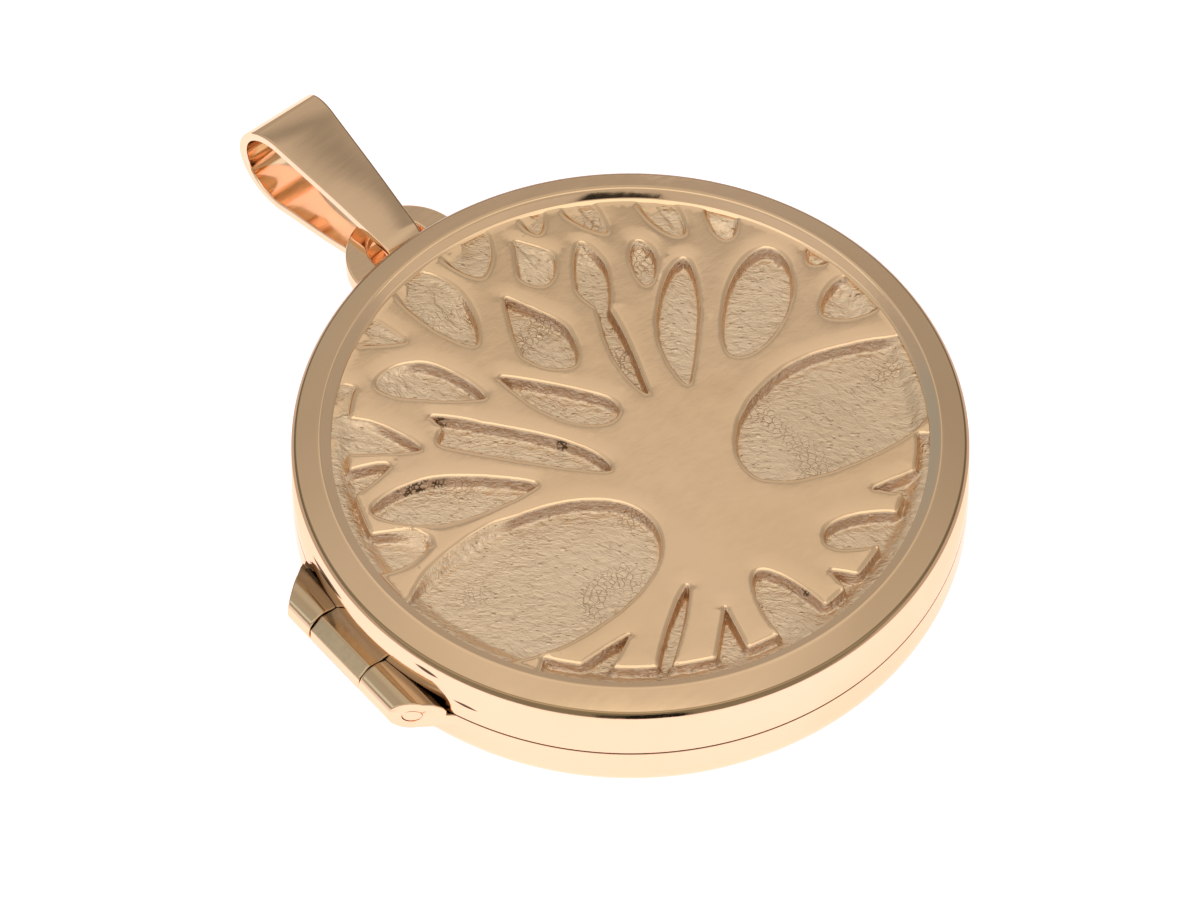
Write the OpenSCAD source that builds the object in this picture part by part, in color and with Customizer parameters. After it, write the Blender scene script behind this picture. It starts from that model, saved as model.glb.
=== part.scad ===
// Round hinged locket with a raised tree in its cover and a ribbon bail, lying on its back.
// Millimetres. The origin is the centre of the flat back, +Z comes out of the front,
// +Y points to the bail, and the hinge is on the -X side.

/* [Locket] */
// Outer diameter of the case and of the cover
locket_d = 28; // [27:0.5:32]
// Height of the cover's outer top edge above the flat back
edge_h = 5.75; // [5.65:0.05:6.2]
// Height of the middle of the seam between case and cover
seam_h = 3.06; // [3:0.02:3.2]
// Width of the seam between case and cover
seam_gap = 0.06; // [0.04:0.01:0.1]
// Thickness of the side walls of case and cover
wall_t = 0.9; // [0.8:0.05:1]
// Thickness of the case's floor
floor_t = 0.8; // [0.6:0.1:1]
// Radius of the rounding round the back
back_round = 2; // [1.2:0.1:2.1]
// Height of the snap lip above the seam
lip_h = 0.6; // [0.4:0.1:0.8]
// Thickness of the snap lip
lip_t = 0.65; // [0.5:0.05:0.8]
// Play between the snap lip and the cover
lip_play = 0.07; // [0.05:0.01:0.1]

/* [Bezel] */
// Width of the bezel seen from the front
bezel_w = 1.65; // [1.5:0.05:1.8]
// Height of the bezel's crest above the outer top edge
crest_h = 0.38; // [0.3:0.02:0.5]
// Radius of the bezel's rounded crest
crest_r = 0.46; // [0.4:0.02:0.5]
// Radius of the rounding along the cover's outer top edge
edge_round = 0.3; // [0.2:0.05:0.4]
// Width of the ledge that carries the tree panel
ledge_w = 0.85; // [0.6:0.05:1.2]
// Thickness of the ledge
ledge_t = 0.5; // [0.4:0.05:0.6]

/* [Tree panel] */
// Thickness of the panel's ground
ground_t = 0.6; // [0.5:0.05:0.7]
// Height of the raised tree above the ground
relief_h = 0.55; // [0.4:0.05:0.6]
// Play between the panel and the bezel, and between the panel and the ledge
panel_play = 0.05; // [0.03:0.01:0.08]

/* [Hinge] */
// Radius of the hinge barrel
barrel_r = 0.83; // [0.8:0.01:0.85]
// Distance of the hinge axis outside the locket's outer wall
barrel_out = 0.5; // [0.48:0.01:0.55]
// Radius of the hinge pin
pin_r = 0.35; // [0.3:0.01:0.4]
// Half length of the middle knuckle
mid_knuckle = 1.62; // [1.5:0.02:1.8]
// Distance of the middle knuckle's centre from the middle of the hinge, towards the bail
mid_shift = 0.28; // [0:0.02:0.4]
// Width of the split between two knuckles
knuckle_gap = 0.06; // [0.05:0.01:0.1]
// Half length of the whole hinge along the middle of the barrel
hinge_half = 3.97; // [3.8:0.01:4.1]
// Running play round the pin in the middle knuckle
pin_play = 0.04; // [0.02:0.01:0.06]

/* [Bail] */
// Width of the bail's ribbon at its outer end
bail_w = 3.45; // [3:0.05:3.6]
// Width of the bail's ribbon where it passes through the eye
bail_eye_w = 1.6; // [1.4:0.1:1.7]
// Thickness of the ribbon
ribbon_t = 0.42; // [0.35:0.01:0.45]
// Outer radius of the bail's wide end
bail_far_r = 2.13; // [2:0.01:2.2]
// Outer radius of the bail's turn in the eye
bail_near_r = 1.12; // [1.1:0.01:1.2]
// Distance between the centres of the two ends
bail_run = 6.3; // [5.5:0.1:7]

/* [Bail tab] */
// Outer radius of the flat tab
tab_r = 2.6; // [2.5:0.05:2.7]
// Thickness of the tab
tab_t = 0.8; // [0.7:0.05:0.85]
// Distance of the tab's centre outside the locket's outer wall
tab_out = 0.95; // [0.9:0.05:1]
// Distance of the tab's top below the case's rim
tab_drop = 0.14; // [0.1:0.01:0.2]
// Radius of the eye in the tab
eye_r = 1.35; // [1.3:0.01:1.4]
// Distance of the eye's centre beyond the tab's centre
eye_out = 0.55; // [0.5:0.01:0.6]

/* [Hidden] */

$fn = 96;
GOLD = [0.80, 0.63, 0.44];
PALE_GOLD = [0.88, 0.72, 0.53];

outer_r = locket_d / 2;
inner_r = outer_r - wall_t;
// What is soldered on stops in the wall, at this radius
solder_r = inner_r + 0.05;
// How far shapes that are one solid reach into each other
overlap = 0.1;
case_top = seam_h - seam_gap / 2;
cover_bottom = seam_h + seam_gap / 2;
bore_r = outer_r - bezel_w;

lip_in = inner_r - lip_play - lip_t;
lip_root = case_top - wall_t;

panel_r = bore_r - panel_play;
tree_top = edge_h + 0.05;
ground_top = tree_top - relief_h;
panel_bottom = ground_top - ground_t;
ledge_top = panel_bottom - panel_play;
ledge_bottom = ledge_top - ledge_t;

// Centres of the two roundings that carry the bezel's sloping band, as [radius, height]
crest_at = [bore_r + crest_r, edge_h + crest_h - crest_r];
edge_at = [outer_r - edge_round, edge_h - edge_round];

hinge_x = -(outer_r + barrel_out);
mid_from = mid_shift - mid_knuckle;
mid_to = mid_shift + mid_knuckle;
// Longer than the whole hinge with its flared ends
hinge_span = hinge_half + 2;
// The cover's wall is cut to a flat, so that the outer knuckles can lie in it
recess_x = -(outer_r - 0.78);
recess_h = 0.73;
// The ends of the hinge flare towards the case, by this much for each millimetre
flare = 0.716;
// How far the knuckles' leaves reach from the axis into the walls, and below the seam
leaf_depth = 1.6;
leaf_low = 0.8;
// Top of an outer knuckle's leaf, as [distance from the axis, height above the seam]
LEAF_TOP = [[1.16, 0.33], [0.88, 0.6], [0.3, 0.76], [0, 0.8]];
// Room for the middle knuckle in the case's wall, and play round the pin in the outer two
channel_r = barrel_r + 0.09;
pin_hold = 0.02;

tab_y = outer_r + tab_out;
tab_top = case_top - tab_drop;
tab_bottom = tab_top - tab_t;
eye_y = tab_y + eye_out;

// Centres of the bail's two ends, as [y, z]: its narrow end turns in the eye, and its wide
// end lies as low as the flat back
bail_near = [eye_y + 0.27, tab_bottom + 0.53];
bail_far = [bail_near[0] + bail_run, bail_far_r];
bail_tip_y = bail_far[0] + bail_far_r;
bail_root_y = bail_near[0] - bail_near_r;

// The gaps between the branches and roots, a row each, drawn on a panel of this radius
DRAWN_R = 12.3;
tree_scale = panel_r / DRAWN_R;
ROOT_X = 0;
ROOT_Y = 1;
TIP_X = 2;
TIP_Y = 3;
LEFT = 4;
RIGHT = 5;
LEFT_AT = 6;
RIGHT_AT = 7;
ROOT_N = 8;
TIP_N = 9;
// Seen from the root to the tip of a gap: its half widths to the left and right, how far
// along its length each is reached, and how full the outline is at the root and at the tip
// (1 is straight, 2 is round, more is blunt).
GAPS = [
    // root      tip           left  right  at    at    root tip
    // Beside the trunk
    [-14.2, -2.4, -1.8, -3.9,   3.3,  3.4, 0.55, 0.48, 1.7, 2.1],
    [ 14.2, -4.3,  2.9, -4.15,  2.6,  3.3, 0.42, 0.57, 1.35, 2.05],
    // Between the roots
    [  9.5, -9.8,  6.3, -8.0,   0.9,  0.9, 0.20, 0.20, 2.0, 1.1],
    [  3.2, -8.8,  6.5, -10.5,  0.95, 0.8, 0.50, 0.40, 2.3, 2.4],
    [  3.3, -12.6, 2.4, -10.2,  0.8,  0.7, 0.20, 0.20, 2.0, 1.1],
    [  0.1, -13.0, 0.0, -8.4,   1.3,  1.1, 0.30, 0.30, 2.0, 1.8],
    [ -3.8, -12.4, -2.1, -9.0,  1.1,  0.6, 0.20, 0.25, 2.0, 1.0],
    [ -6.5, -10.4, -2.6, -7.2,  0.4,  0.3, 0.40, 0.45, 2.4, 1.9],
    [ -9.4, -8.9, -6.0, -7.7,   1.0,  0.4, 0.20, 0.30, 2.0, 1.1],
    // The left side, upwards
    [-12.8,  2.2, -9.7,  1.1,   1.1,  1.0, 0.35, 0.40, 2.0, 1.7],
    [-10.6,  3.8, -4.3,  0.6,   1.2,  1.25, 0.42, 0.43, 1.7, 1.3],
    [-12.6,  5.5, -8.5,  5.2,   0.75, 0.6, 0.50, 0.30, 2.0, 1.5],
    [-10.2,  8.6, -7.0,  5.0,   1.05, 0.9, 0.45, 0.15, 2.0, 1.4],
    [ -6.1,  5.1, -1.5, -0.7,   1.15, 0.45, 0.50, 0.14, 4.0, 1.9],
    [ -5.7,  6.2, -3.9,  3.4,   0.35, 0.6,  0.55, 0.40, 1.2, 1.5],
    [ -6.5,  8.8, -3.3,  5.4,   1.45, 0.5, 0.42, 0.28, 1.9, 1.4],
    [ -2.2,  6.0,  0.5,  1.4,   0.65, 1.1, 0.80, 0.55, 1.3, 2.3],
    [ -5.9, 12.3, -4.1,  9.7,   0.85, 0.85, 0.35, 0.35, 2.0, 1.1],
    // The crown, from left to right
    [ -2.7, 12.6, -2.0,  7.8,   1.6,  0.6, 0.42, 0.50, 2.2, 1.6],
    [  0.6, 13.2,  0.4, 10.4,   1.4,  0.9, 0.35, 0.25, 2.0, 1.6],
    [  0.5,  9.1,  0.6,  4.5,   1.05, 1.35, 0.57, 0.60, 1.1, 1.7],
    [  2.6, 11.1,  2.2,  8.5,   1.1,  0.75, 0.52, 0.65, 1.1, 1.7],
    [  4.3, 12.8,  3.6, 10.7,   0.6,  0.6, 0.40, 0.40, 2.0, 1.7],
    [  5.9, 11.6,  5.9,  9.0,   0.45, 0.85, 0.35, 0.30, 2.0, 1.4],
    [  8.5, 10.2,  8.3,  7.0,   0.55, 0.75, 0.50, 0.40, 2.0, 1.9],
    [ 10.8,  7.8,  9.6,  5.7,   0.6,  0.7, 0.45, 0.40, 2.0, 1.9],
    [  4.7,  9.4,  3.4,  5.9,   0.7,  0.85, 0.42, 0.62, 1.5, 1.5],
    [  3.7,  7.0,  2.1,  1.4,   0.25, 0.65, 0.45, 0.62, 1.6, 1.4],
    [  6.6,  8.0,  5.5,  5.9,   0.65, 0.45, 0.45, 0.45, 1.9, 1.7],
    [  7.6,  6.1,  3.7,  0.8,   0.6,  1.25, 0.35, 0.55, 1.8, 1.4],
    [ 10.7,  4.3,  6.1,  0.8,   1.55, 1.15, 0.45, 0.42, 2.0, 1.9],
    [ 12.6,  3.0, 11.5,  2.6,   0.6,  0.5, 0.40, 0.40, 2.0, 1.7],
    [ 13.2,  0.2, 10.3,  0.2,   1.1,  1.1, 0.35, 0.45, 2.0, 1.7],
];
// Strips of bare ground along the rim, where roots and branches stop short of it:
// first angle, last angle, and the radius at which they stop
RIM_STRIPS = [
    [-146, -48, 11.55],
    [-48, -36, 11.85],
    [128, 174, 11.65],
];
SIDE_STEPS = 14;

// How wide a gap is at a share t of its length, as a part of its half width
function fullness(u, n) = pow(1 - pow(1 - u, n), 1 / n);
function half_width(t, at, root_n, tip_n) =
    t < at ? fullness(t / at, root_n) : fullness((1 - t) / (1 - at), tip_n);

// One side of a gap's outline, from its root to its tip, with the points closer at the ends
function gap_side(g, width, at, side) =
    let (
        root = [g[ROOT_X], g[ROOT_Y]],
        run = [g[TIP_X], g[TIP_Y]] - root,
        out = side * [-run[1], run[0]] / norm(run)
    )
    [for (i = [0 : SIDE_STEPS])
        let (t = (1 - cos(180 * i / SIDE_STEPS)) / 2)
        root + t * run + width * half_width(t, at, g[ROOT_N], g[TIP_N]) * out];

function gap_outline(g) =
    let (
        left = gap_side(g, g[LEFT], g[LEFT_AT], 1),
        right = gap_side(g, g[RIGHT], g[RIGHT_AT], -1)
    )
    concat(left, [for (i = [SIDE_STEPS - 1 : -1 : 1]) right[i]]);

// Direction of the normal of the line that touches two circles on their left side
function touch_angle(c1, r1, c2, r2) =
    let (run = c2 - c1)
    atan2(run[1], run[0]) + acos((r1 - r2) / norm(run));
function toward(angle) = [cos(angle), sin(angle)];

// Two circles of different size with the straight lines that touch both
module egg(c1, r1, c2, r2) {
    up = toward(touch_angle(c1, r1, c2, r2));
    down = toward(2 * atan2(c2[1] - c1[1], c2[0] - c1[0]) - touch_angle(c1, r1, c2, r2));
    translate(c1) circle(r1);
    translate(c2) circle(r2);
    polygon([c1 + r1 * up, c1 + r1 * down, c2 + r2 * down, c2 + r2 * up]);
}

// Half section of a round pan whose lower outer corner is rounded
module pan_section(r, h, corner) {
    square([r - corner, h]);
    translate([0, corner]) square([r, h - corner]);
    translate([r - corner, corner])
        intersection() {
            circle(corner);
            translate([-corner, -corner]) square([2 * corner, corner]);
        }
}

module case_section() {
    difference() {
        pan_section(outer_r, case_top, back_round);
        translate([0, floor_t]) pan_section(inner_r, case_top, back_round - floor_t);
    }
    translate([lip_in, lip_root]) square([inner_r - lip_in + overlap, case_top - lip_root]);
    translate([lip_in, lip_root]) square([lip_t, case_top - lip_root + lip_h]);
}

module cover_section() {
    band = toward(touch_angle(crest_at, crest_r, edge_at, edge_round));
    translate([inner_r, cover_bottom]) square([wall_t, edge_at[1] - cover_bottom]);
    translate([bore_r, ledge_bottom]) square([outer_r - bore_r, edge_at[1] - ledge_bottom]);
    translate([bore_r, ledge_bottom]) square([crest_r, crest_at[1] - ledge_bottom]);
    translate([bore_r - ledge_w, ledge_bottom]) square([ledge_w + overlap, ledge_t]);
    translate(crest_at) circle(crest_r);
    translate(edge_at) circle(edge_round);
    polygon([
        [crest_at[0], edge_at[1]],
        edge_at,
        edge_at + edge_round * band,
        crest_at + crest_r * band,
        crest_at,
    ]);
}

// A cylinder that passes through the whole locket
module upright(r, y = 0) {
    translate([0, y, -1]) cylinder(r = r, h = 2 * edge_h);
}

// Puts a section drawn across the hinge in place, and runs it along the hinge
module along_hinge(y_from, y_to) {
    translate([hinge_x, y_to, seam_h])
        rotate([90, 0, 0]) linear_extrude(y_to - y_from) children();
}

// Plan of the hinge: its ends are cut on a slant, longer at the case than at the barrel
module hinge_plan() {
    x_out = -2 * barrel_r;
    x_in = leaf_depth + 0.5;
    linear_extrude(2 * seam_h)
        translate([hinge_x, 0])
        polygon([
            [x_out, -hinge_half - x_out * flare],
            [x_in, -hinge_half - x_in * flare],
            [x_in, hinge_half + x_in * flare],
            [x_out, hinge_half + x_out * flare],
        ]);
}

// Section of an outer knuckle: the barrel, filled out to the case's wall below the seam
module outer_knuckle_section() {
    rim = case_top - seam_h;
    circle(barrel_r);
    polygon(concat(
        [[0, -leaf_low], [leaf_depth, -leaf_low], [leaf_depth, rim], [LEAF_TOP[0][0], rim]],
        LEAF_TOP
    ));
}

// Section of the middle knuckle: the barrel with a leaf that fills the flat in the cover
module middle_knuckle_section() {
    rim = cover_bottom - seam_h;
    deep = recess_x - hinge_x + overlap;
    circle(barrel_r);
    polygon([[0, rim], [deep, rim], [deep, recess_h + overlap], [0.2, recess_h]]);
}

module outer_knuckles() {
    difference() {
        intersection() {
            union() {
                along_hinge(mid_to + knuckle_gap, hinge_span) outer_knuckle_section();
                along_hinge(-hinge_span, mid_from - knuckle_gap) outer_knuckle_section();
            }
            hinge_plan();
        }
        upright(solder_r);
    }
}

module bail_tab() {
    difference() {
        translate([0, tab_y, tab_bottom]) cylinder(r = tab_r, h = tab_t);
        upright(solder_r);
        upright(eye_r, eye_y);
    }
}

// Bore for the pin along the whole hinge
module pin_bore(play) {
    along_hinge(-hinge_span, hinge_span) circle(pin_r + play);
}

module back_case() {
    color(PALE_GOLD)
    difference() {
        union() {
            rotate_extrude() case_section();
            outer_knuckles();
            bail_tab();
        }
        along_hinge(mid_from - knuckle_gap, mid_to + knuckle_gap)
            circle(channel_r);
        pin_bore(pin_hold);
    }
}

module hinge_pin() {
    color(PALE_GOLD)
    intersection() {
        along_hinge(-hinge_span, hinge_span) circle(pin_r);
        hinge_plan();
    }
}

module front_cover() {
    color(GOLD)
    difference() {
        union() {
            difference() {
                rotate_extrude() cover_section();
                translate([recess_x - leaf_depth, -outer_r, 0])
                    cube([leaf_depth, locket_d, seam_h + recess_h]);
            }
            difference() {
                along_hinge(mid_from, mid_to) middle_knuckle_section();
                upright(solder_r);
            }
        }
        pin_bore(pin_play);
    }
}

module rim_strip(first, last, stop_r) {
    far = 2 * DRAWN_R;
    difference() {
        intersection() {
            circle(DRAWN_R + 1);
            polygon([[0, 0], far * toward(first), far * toward((first + last) / 2),
                     far * toward(last)]);
        }
        circle(stop_r);
    }
}

module tree_outline() {
    difference() {
        circle(panel_r);
        scale([tree_scale, tree_scale]) {
            for (g = GAPS) polygon(gap_outline(g));
            for (s = RIM_STRIPS) rim_strip(s[0], s[1], s[2]);
        }
    }
}

module tree_panel() {
    color(GOLD) {
        translate([0, 0, panel_bottom]) cylinder(r = panel_r, h = ground_t);
        translate([0, 0, ground_top]) linear_extrude(relief_h) tree_outline();
    }
}

module bail() {
    color(GOLD)
    intersection() {
        translate([-bail_w / 2, 0, 0])
            rotate([90, 0, 90])
            linear_extrude(bail_w)
            difference() {
                egg(bail_near, bail_near_r, bail_far, bail_far_r);
                egg(bail_near, bail_near_r - ribbon_t, bail_far, bail_far_r - ribbon_t);
            }
        translate([0, 0, -1])
            linear_extrude(2 * edge_h)
            polygon([
                [-bail_eye_w / 2, bail_root_y - overlap],
                [bail_eye_w / 2, bail_root_y - overlap],
                [bail_w / 2, bail_tip_y + overlap],
                [-bail_w / 2, bail_tip_y + overlap],
            ]);
    }
}

back_case();
hinge_pin();
front_cover();
tree_panel();
bail();
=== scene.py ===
import math

import bmesh
import bpy
import numpy as np
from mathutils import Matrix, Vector, geometry, kdtree


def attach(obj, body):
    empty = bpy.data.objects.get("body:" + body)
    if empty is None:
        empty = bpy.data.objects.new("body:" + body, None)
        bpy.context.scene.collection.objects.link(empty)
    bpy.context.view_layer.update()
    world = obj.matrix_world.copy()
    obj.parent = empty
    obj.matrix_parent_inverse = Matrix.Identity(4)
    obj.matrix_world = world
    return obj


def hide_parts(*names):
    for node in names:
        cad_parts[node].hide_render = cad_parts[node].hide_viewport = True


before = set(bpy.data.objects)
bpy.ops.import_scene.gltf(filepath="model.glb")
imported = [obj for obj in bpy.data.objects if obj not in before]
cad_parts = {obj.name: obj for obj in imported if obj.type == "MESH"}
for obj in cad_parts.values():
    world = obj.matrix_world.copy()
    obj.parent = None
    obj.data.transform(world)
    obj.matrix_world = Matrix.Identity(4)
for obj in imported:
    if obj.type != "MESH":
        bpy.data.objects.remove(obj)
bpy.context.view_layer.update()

# Every size below is in millimetres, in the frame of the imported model: the origin is the
# centre of the flat back, +Z comes out of the front, +Y points to the bail and the hinge
# is on the -X side.
MM = 0.001

# Locket
OUTER_R = 14.0
WALL = 0.9
INNER_R = OUTER_R - WALL
FLOOR_T = 0.8
BACK_ROUND = 2.0
SEAM_Z = 3.06
SEAM_GAP = 0.06
CASE_TOP = SEAM_Z - SEAM_GAP / 2
COVER_BOTTOM = SEAM_Z + SEAM_GAP / 2
EDGE_Z = 5.75
LIP_OUT = INNER_R - 0.07
LIP_IN = LIP_OUT - 0.65
LIP_TOP = CASE_TOP + 0.6
LIP_ROOT = CASE_TOP - WALL
SOFT_EDGE = 0.05
# Edges that turn by more degrees than this are shaded sharp
SHELL_SHARP = 50
BAR_SHARP = 60
TREE_SHARP = 62

# Bezel
BORE_R = OUTER_R - 1.65
CREST_R = 0.46
CREST_AT = (BORE_R + CREST_R, EDGE_Z + 0.38 - CREST_R)
EDGE_ROUND = 0.3
EDGE_AT = (OUTER_R - EDGE_ROUND, EDGE_Z - EDGE_ROUND)
BAND_RUN = (EDGE_AT[0] - CREST_AT[0], EDGE_AT[1] - CREST_AT[1])
# The band between the two roundings: the direction that it faces, above the horizontal
BAND_TILT = math.degrees(
    math.atan2(BAND_RUN[1], BAND_RUN[0])
    + math.acos((CREST_R - EDGE_ROUND) / math.hypot(*BAND_RUN))
)
# How the cover is shaded: the lean at the top of its side wall, and for its two roundings the
# angle on the rounding and the angle above the horizontal that the metal faces there
WALL_LEAN = 24.0
EDGE_LEAN = [(0, WALL_LEAN), (8, 27), (46, 33), (56, 50), (BAND_TILT, BAND_TILT)]
CREST_FACING = [
    (BAND_TILT, BAND_TILT), (84, 80), (90, 118), (95, 136), (101, 143), (108, 147),
    (144, 151), (151, 128), (180, 124),
]
# The most that the crest turns inwards, by how far behind the middle the place is
CREST_LIMIT = [(-1, 114), (-0.5, 121), (0, 131), (0.5, 141), (0.866, 148), (1, 153)]

# Tree panel
PANEL_R = BORE_R - 0.05
PANEL_SEAT_R = BORE_R - 0.003
TREE_TOP = EDGE_Z + 0.05
GROUND_TOP = TREE_TOP - 0.55
PANEL_BOTTOM = GROUND_TOP - 0.6
LEDGE_TOP = PANEL_BOTTOM - 0.05
LEDGE_BOTTOM = LEDGE_TOP - 0.5
LEDGE_R = BORE_R - 0.85
# The direction away from the photo's camera, along the table. The tree's shoulders are
# rounder on this side of its gaps
SOFT_SIDE = np.array([0.617, 0.787])

# Hinge
HINGE_X = -(OUTER_R + 0.5)
BARREL_R = 0.83
PIN_R = 0.35
# The domed ends of the pin: radius, and how far below the hinge's end it lies
PIN_DOME = ((0.001, -0.02), (0.2, -0.015), (0.31, 0.0), (PIN_R, 0.05))
PIN_HOLE_R = 0.37
COVER_HOLE_R = 0.39
MID_FROM = 0.28 - 1.62
MID_TO = 0.28 + 1.62
KNUCKLE_GAP = 0.06
HINGE_HALF = 3.97
FLARE = 0.716
RECESS_X = 13.22
RECESS_TOP = SEAM_Z + 0.73
CHANNEL_R = BARREL_R + 0.09

# Bail and its tab
TAB_Y = OUTER_R + 0.95
TAB_R = 2.6
TAB_TOP = CASE_TOP - 0.14
TAB_BOTTOM = TAB_TOP - 0.8
EYE_Y = TAB_Y + 0.55
TAB_SOFT = 0.08
EYE_R = 1.35
RIBBON_T = 0.42
RIBBON_SOFT = 0.06
BAIL_NEAR = (EYE_Y + 0.27, TAB_BOTTOM + 0.53)
BAIL_NEAR_R = 1.12
BAIL_FAR_R = 2.13
BAIL_FAR = (BAIL_NEAR[0] + 6.3, BAIL_FAR_R)
BAIL_ROOT_Y = BAIL_NEAR[0] - BAIL_NEAR_R
BAIL_TIP_Y = BAIL_FAR[0] + BAIL_FAR_R
BAIL_ROOT_W = 1.6
BAIL_TIP_W = 3.45
TOP_LEVELLING = 0.075
# How the far end of the ribbon is shaded: the lean of its surface, and the lean it shows
TIP_TURN = [(0, 0), (8, 1.5), (28, 6), (44, 44), (90, 90)]

# The photo's view: its direction, the pixels that a millimetre takes, and the pixel at
# which the centre of the cover's outer top edge lies
VIEW_AZIMUTH = -38.1
VIEW_ELEVATION = 53.5
PHOTO_W, PHOTO_H = 1200, 901
PIXELS_PER_MM = 24.24
CENTRE_PX = (630.3, 441.4)
CAMERA_DISTANCE = 1500.0
SENSOR_MM = 36.0

# Tones of the gold, as red, green and blue
GOLD = (0.90, 0.63, 0.41)
GOLD_DEEP = (0.87, 0.605, 0.38)
GOLD_MATT = (0.95, 0.73, 0.52)
GOLD_MATT_DEEP = (0.86, 0.65, 0.45)
# Painted shade for the deep, forward-facing walls of the tree's gaps
GOLD_WALL_SHADE = (0.62, 0.45, 0.33)
# A painted dark reflection, for the polished edges of the cover and the ribbon
GOLD_DARK_REFLECTION = (0.36, 0.24, 0.13)
GOLD_DULL = (0.62, 0.45, 0.285)
# Painted shade on the ribbon's upper face
GOLD_UPPER_SHADE = (0.78, 0.545, 0.355)
# A painted glow of reflected light on the ribbon's inner side
GOLD_INSIDE_GLOW = (0.92, 0.68, 0.475)
# Painted shade in the creases of the cast ground
GOLD_SHADE = (0.36, 0.23, 0.13)
# Dark torn places in the gaps' walls, and the painted dark reflections streaked on the cover's
# wall
GOLD_CRACK_AND_REFLECTION = (0.10, 0.065, 0.04)
# The dark line of the seam, and painted shade in the recess behind the hinge and beside the hinge
GOLD_SEAM_AND_SHADE = (0.16, 0.10, 0.055)
# Painted shade on the hinge next to the wall
GOLD_BESIDE_SHADE = (0.50, 0.42, 0.35)
GRAZING_TINT = (1.0, 0.92, 0.82)
MATT_ROUGHNESS = 0.38
# Painted dark reflections, thin streaks on the side wall behind the hinge: angle from the
# hinge, height, half length, half width and rise
DARK_REFLECTED_STREAKS = [(-11.6, 4.72, 1.4, 0.2, 0.09), (15.1, 5.04, 0.62, 0.12, -0.05),
             (22.9, 4.02, 0.6, 0.09, -0.05)]
# Torn places in the walls of the gaps: x, y and radius
TORN_AT = [(-8.1, 3.65, 1.2), (-5.5, 5.7, 0.3), (-2.15, 1.75, 0.3), (1.15, -10.4, 0.3)]


def arc(centre, radius, first, last, steps):
    """Points on a circle from the first to the last angle, in degrees."""
    t = np.radians(np.linspace(first, last, steps + 1))
    return np.stack([centre[0] + radius * np.cos(t), centre[1] + radius * np.sin(t)], 1)


def rounded(corners, steps=4, support=0.04):
    """A polyline whose corners (x, y, radius) are rounded, with the same number of points
    for the same number of corners. A support point beside each rounding keeps the flats
    flat in smooth shading. The first and the last corner are left as they are."""
    pts = [np.array(c[:2], float) for c in corners]
    out = [pts[0]]
    for i in range(1, len(corners) - 1):
        a, p, b = pts[i - 1], pts[i], pts[i + 1]
        u, v = a - p, b - p
        lu, lv = np.hypot(*u), np.hypot(*v)
        radius = corners[i][2] if len(corners[i]) > 2 else 0.0
        if lu < 1e-6 or lv < 1e-6:
            out += [p] * (steps + 3)
            continue
        u, v = u / lu, v / lv
        half = math.acos(max(-1.0, min(1.0, float(u @ v)))) / 2
        reach = min(radius / math.tan(half), 0.45 * lu, 0.45 * lv) if half > 1e-3 else 0.0
        start, end = p + u * reach, p + v * reach
        out.append(start + u * min(support, 0.4 * (lu - reach)))
        for k in range(steps + 1):
            t = k / steps
            out.append((1 - t) ** 2 * start + 2 * t * (1 - t) * p + t ** 2 * end)
        out.append(end + v * min(support, 0.4 * (lv - reach)))
    out.append(pts[-1])
    return np.array(out)


def new_mesh(name, points, edges=(), faces=()):
    """A mesh from points in millimetres."""
    mesh = bpy.data.meshes.new(name)
    mesh.from_pydata((points * MM).tolist(), edges, faces)
    mesh.validate()
    return mesh


def in_scene(name, data):
    """A new object in the scene, at the origin."""
    obj = bpy.data.objects.new(name, data)
    bpy.context.scene.collection.objects.link(obj)
    return obj


def shade_smooth(mesh, sharp_above):
    """Shades a mesh smooth, but for its edges that turn by more than this."""
    mesh.shade_smooth()
    mesh.set_sharp_from_angle(angle=math.radians(sharp_above))


def new_object(name, points, faces, sharp_above):
    """A mesh object from points in millimetres, with doubles merged and smooth faces."""
    points = np.asarray(points, float)
    keys = np.round(points * 20000).astype(np.int64)
    _, first, inverse = np.unique(keys, axis=0, return_index=True, return_inverse=True)
    inverse = inverse.reshape(-1)
    clean = []
    for f in faces:
        g = []
        for i in f:
            j = int(inverse[i])
            if j not in g:
                g.append(j)
        if len(g) > 2:
            clean.append(g)
    mesh = new_mesh(name, points[first], faces=clean)
    shade_smooth(mesh, sharp_above)
    return in_scene(name, mesh)


def grid_faces(rows, columns, wrap_rows, wrap_columns, flip=False):
    """Quads that join rows of points, a row after another."""
    faces = []
    for i in range(rows if wrap_rows else rows - 1):
        a, b = i * columns, (i + 1) % rows * columns
        for j in range(columns if wrap_columns else columns - 1):
            k = (j + 1) % columns
            quad = (a + j, b + j, b + k, a + k)
            faces.append(quad[::-1] if flip else quad)
    return faces


def turned(name, columns, sharp_above, centre=(0.0, 0.0), closed=False):
    """A turned body from columns of (angle, points), where the points are (radius, height)."""
    rows = []
    for angle, profile in columns:
        r, z = profile[:, 0], profile[:, 1]
        x = centre[0] + r * math.cos(angle)
        y = centre[1] + r * math.sin(angle)
        rows.append(np.stack([x, y, z], 1))
    count = len(rows[0])
    faces = grid_faces(len(rows), count, True, closed)
    return new_object(name, np.concatenate(rows), faces, sharp_above)


def finish_piece(obj, body, material, slot, *nodes):
    """Gives a piece its metal, and puts it on its body in place of its solids."""
    obj.data.materials.clear()
    obj.data.materials.append(material)
    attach(obj, body)
    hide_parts(*nodes)


def angles_round(count, extra=()):
    """Evenly spaced angles round a circle, with the extra ones put in."""
    even = [2 * math.pi * i / count for i in range(count)]
    return sorted(set(even) | set(extra))


def hinge_angle(y):
    """Angle of the point of the outer wall at this y, on the hinge side."""
    return math.pi - math.asin(y / OUTER_R)


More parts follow.
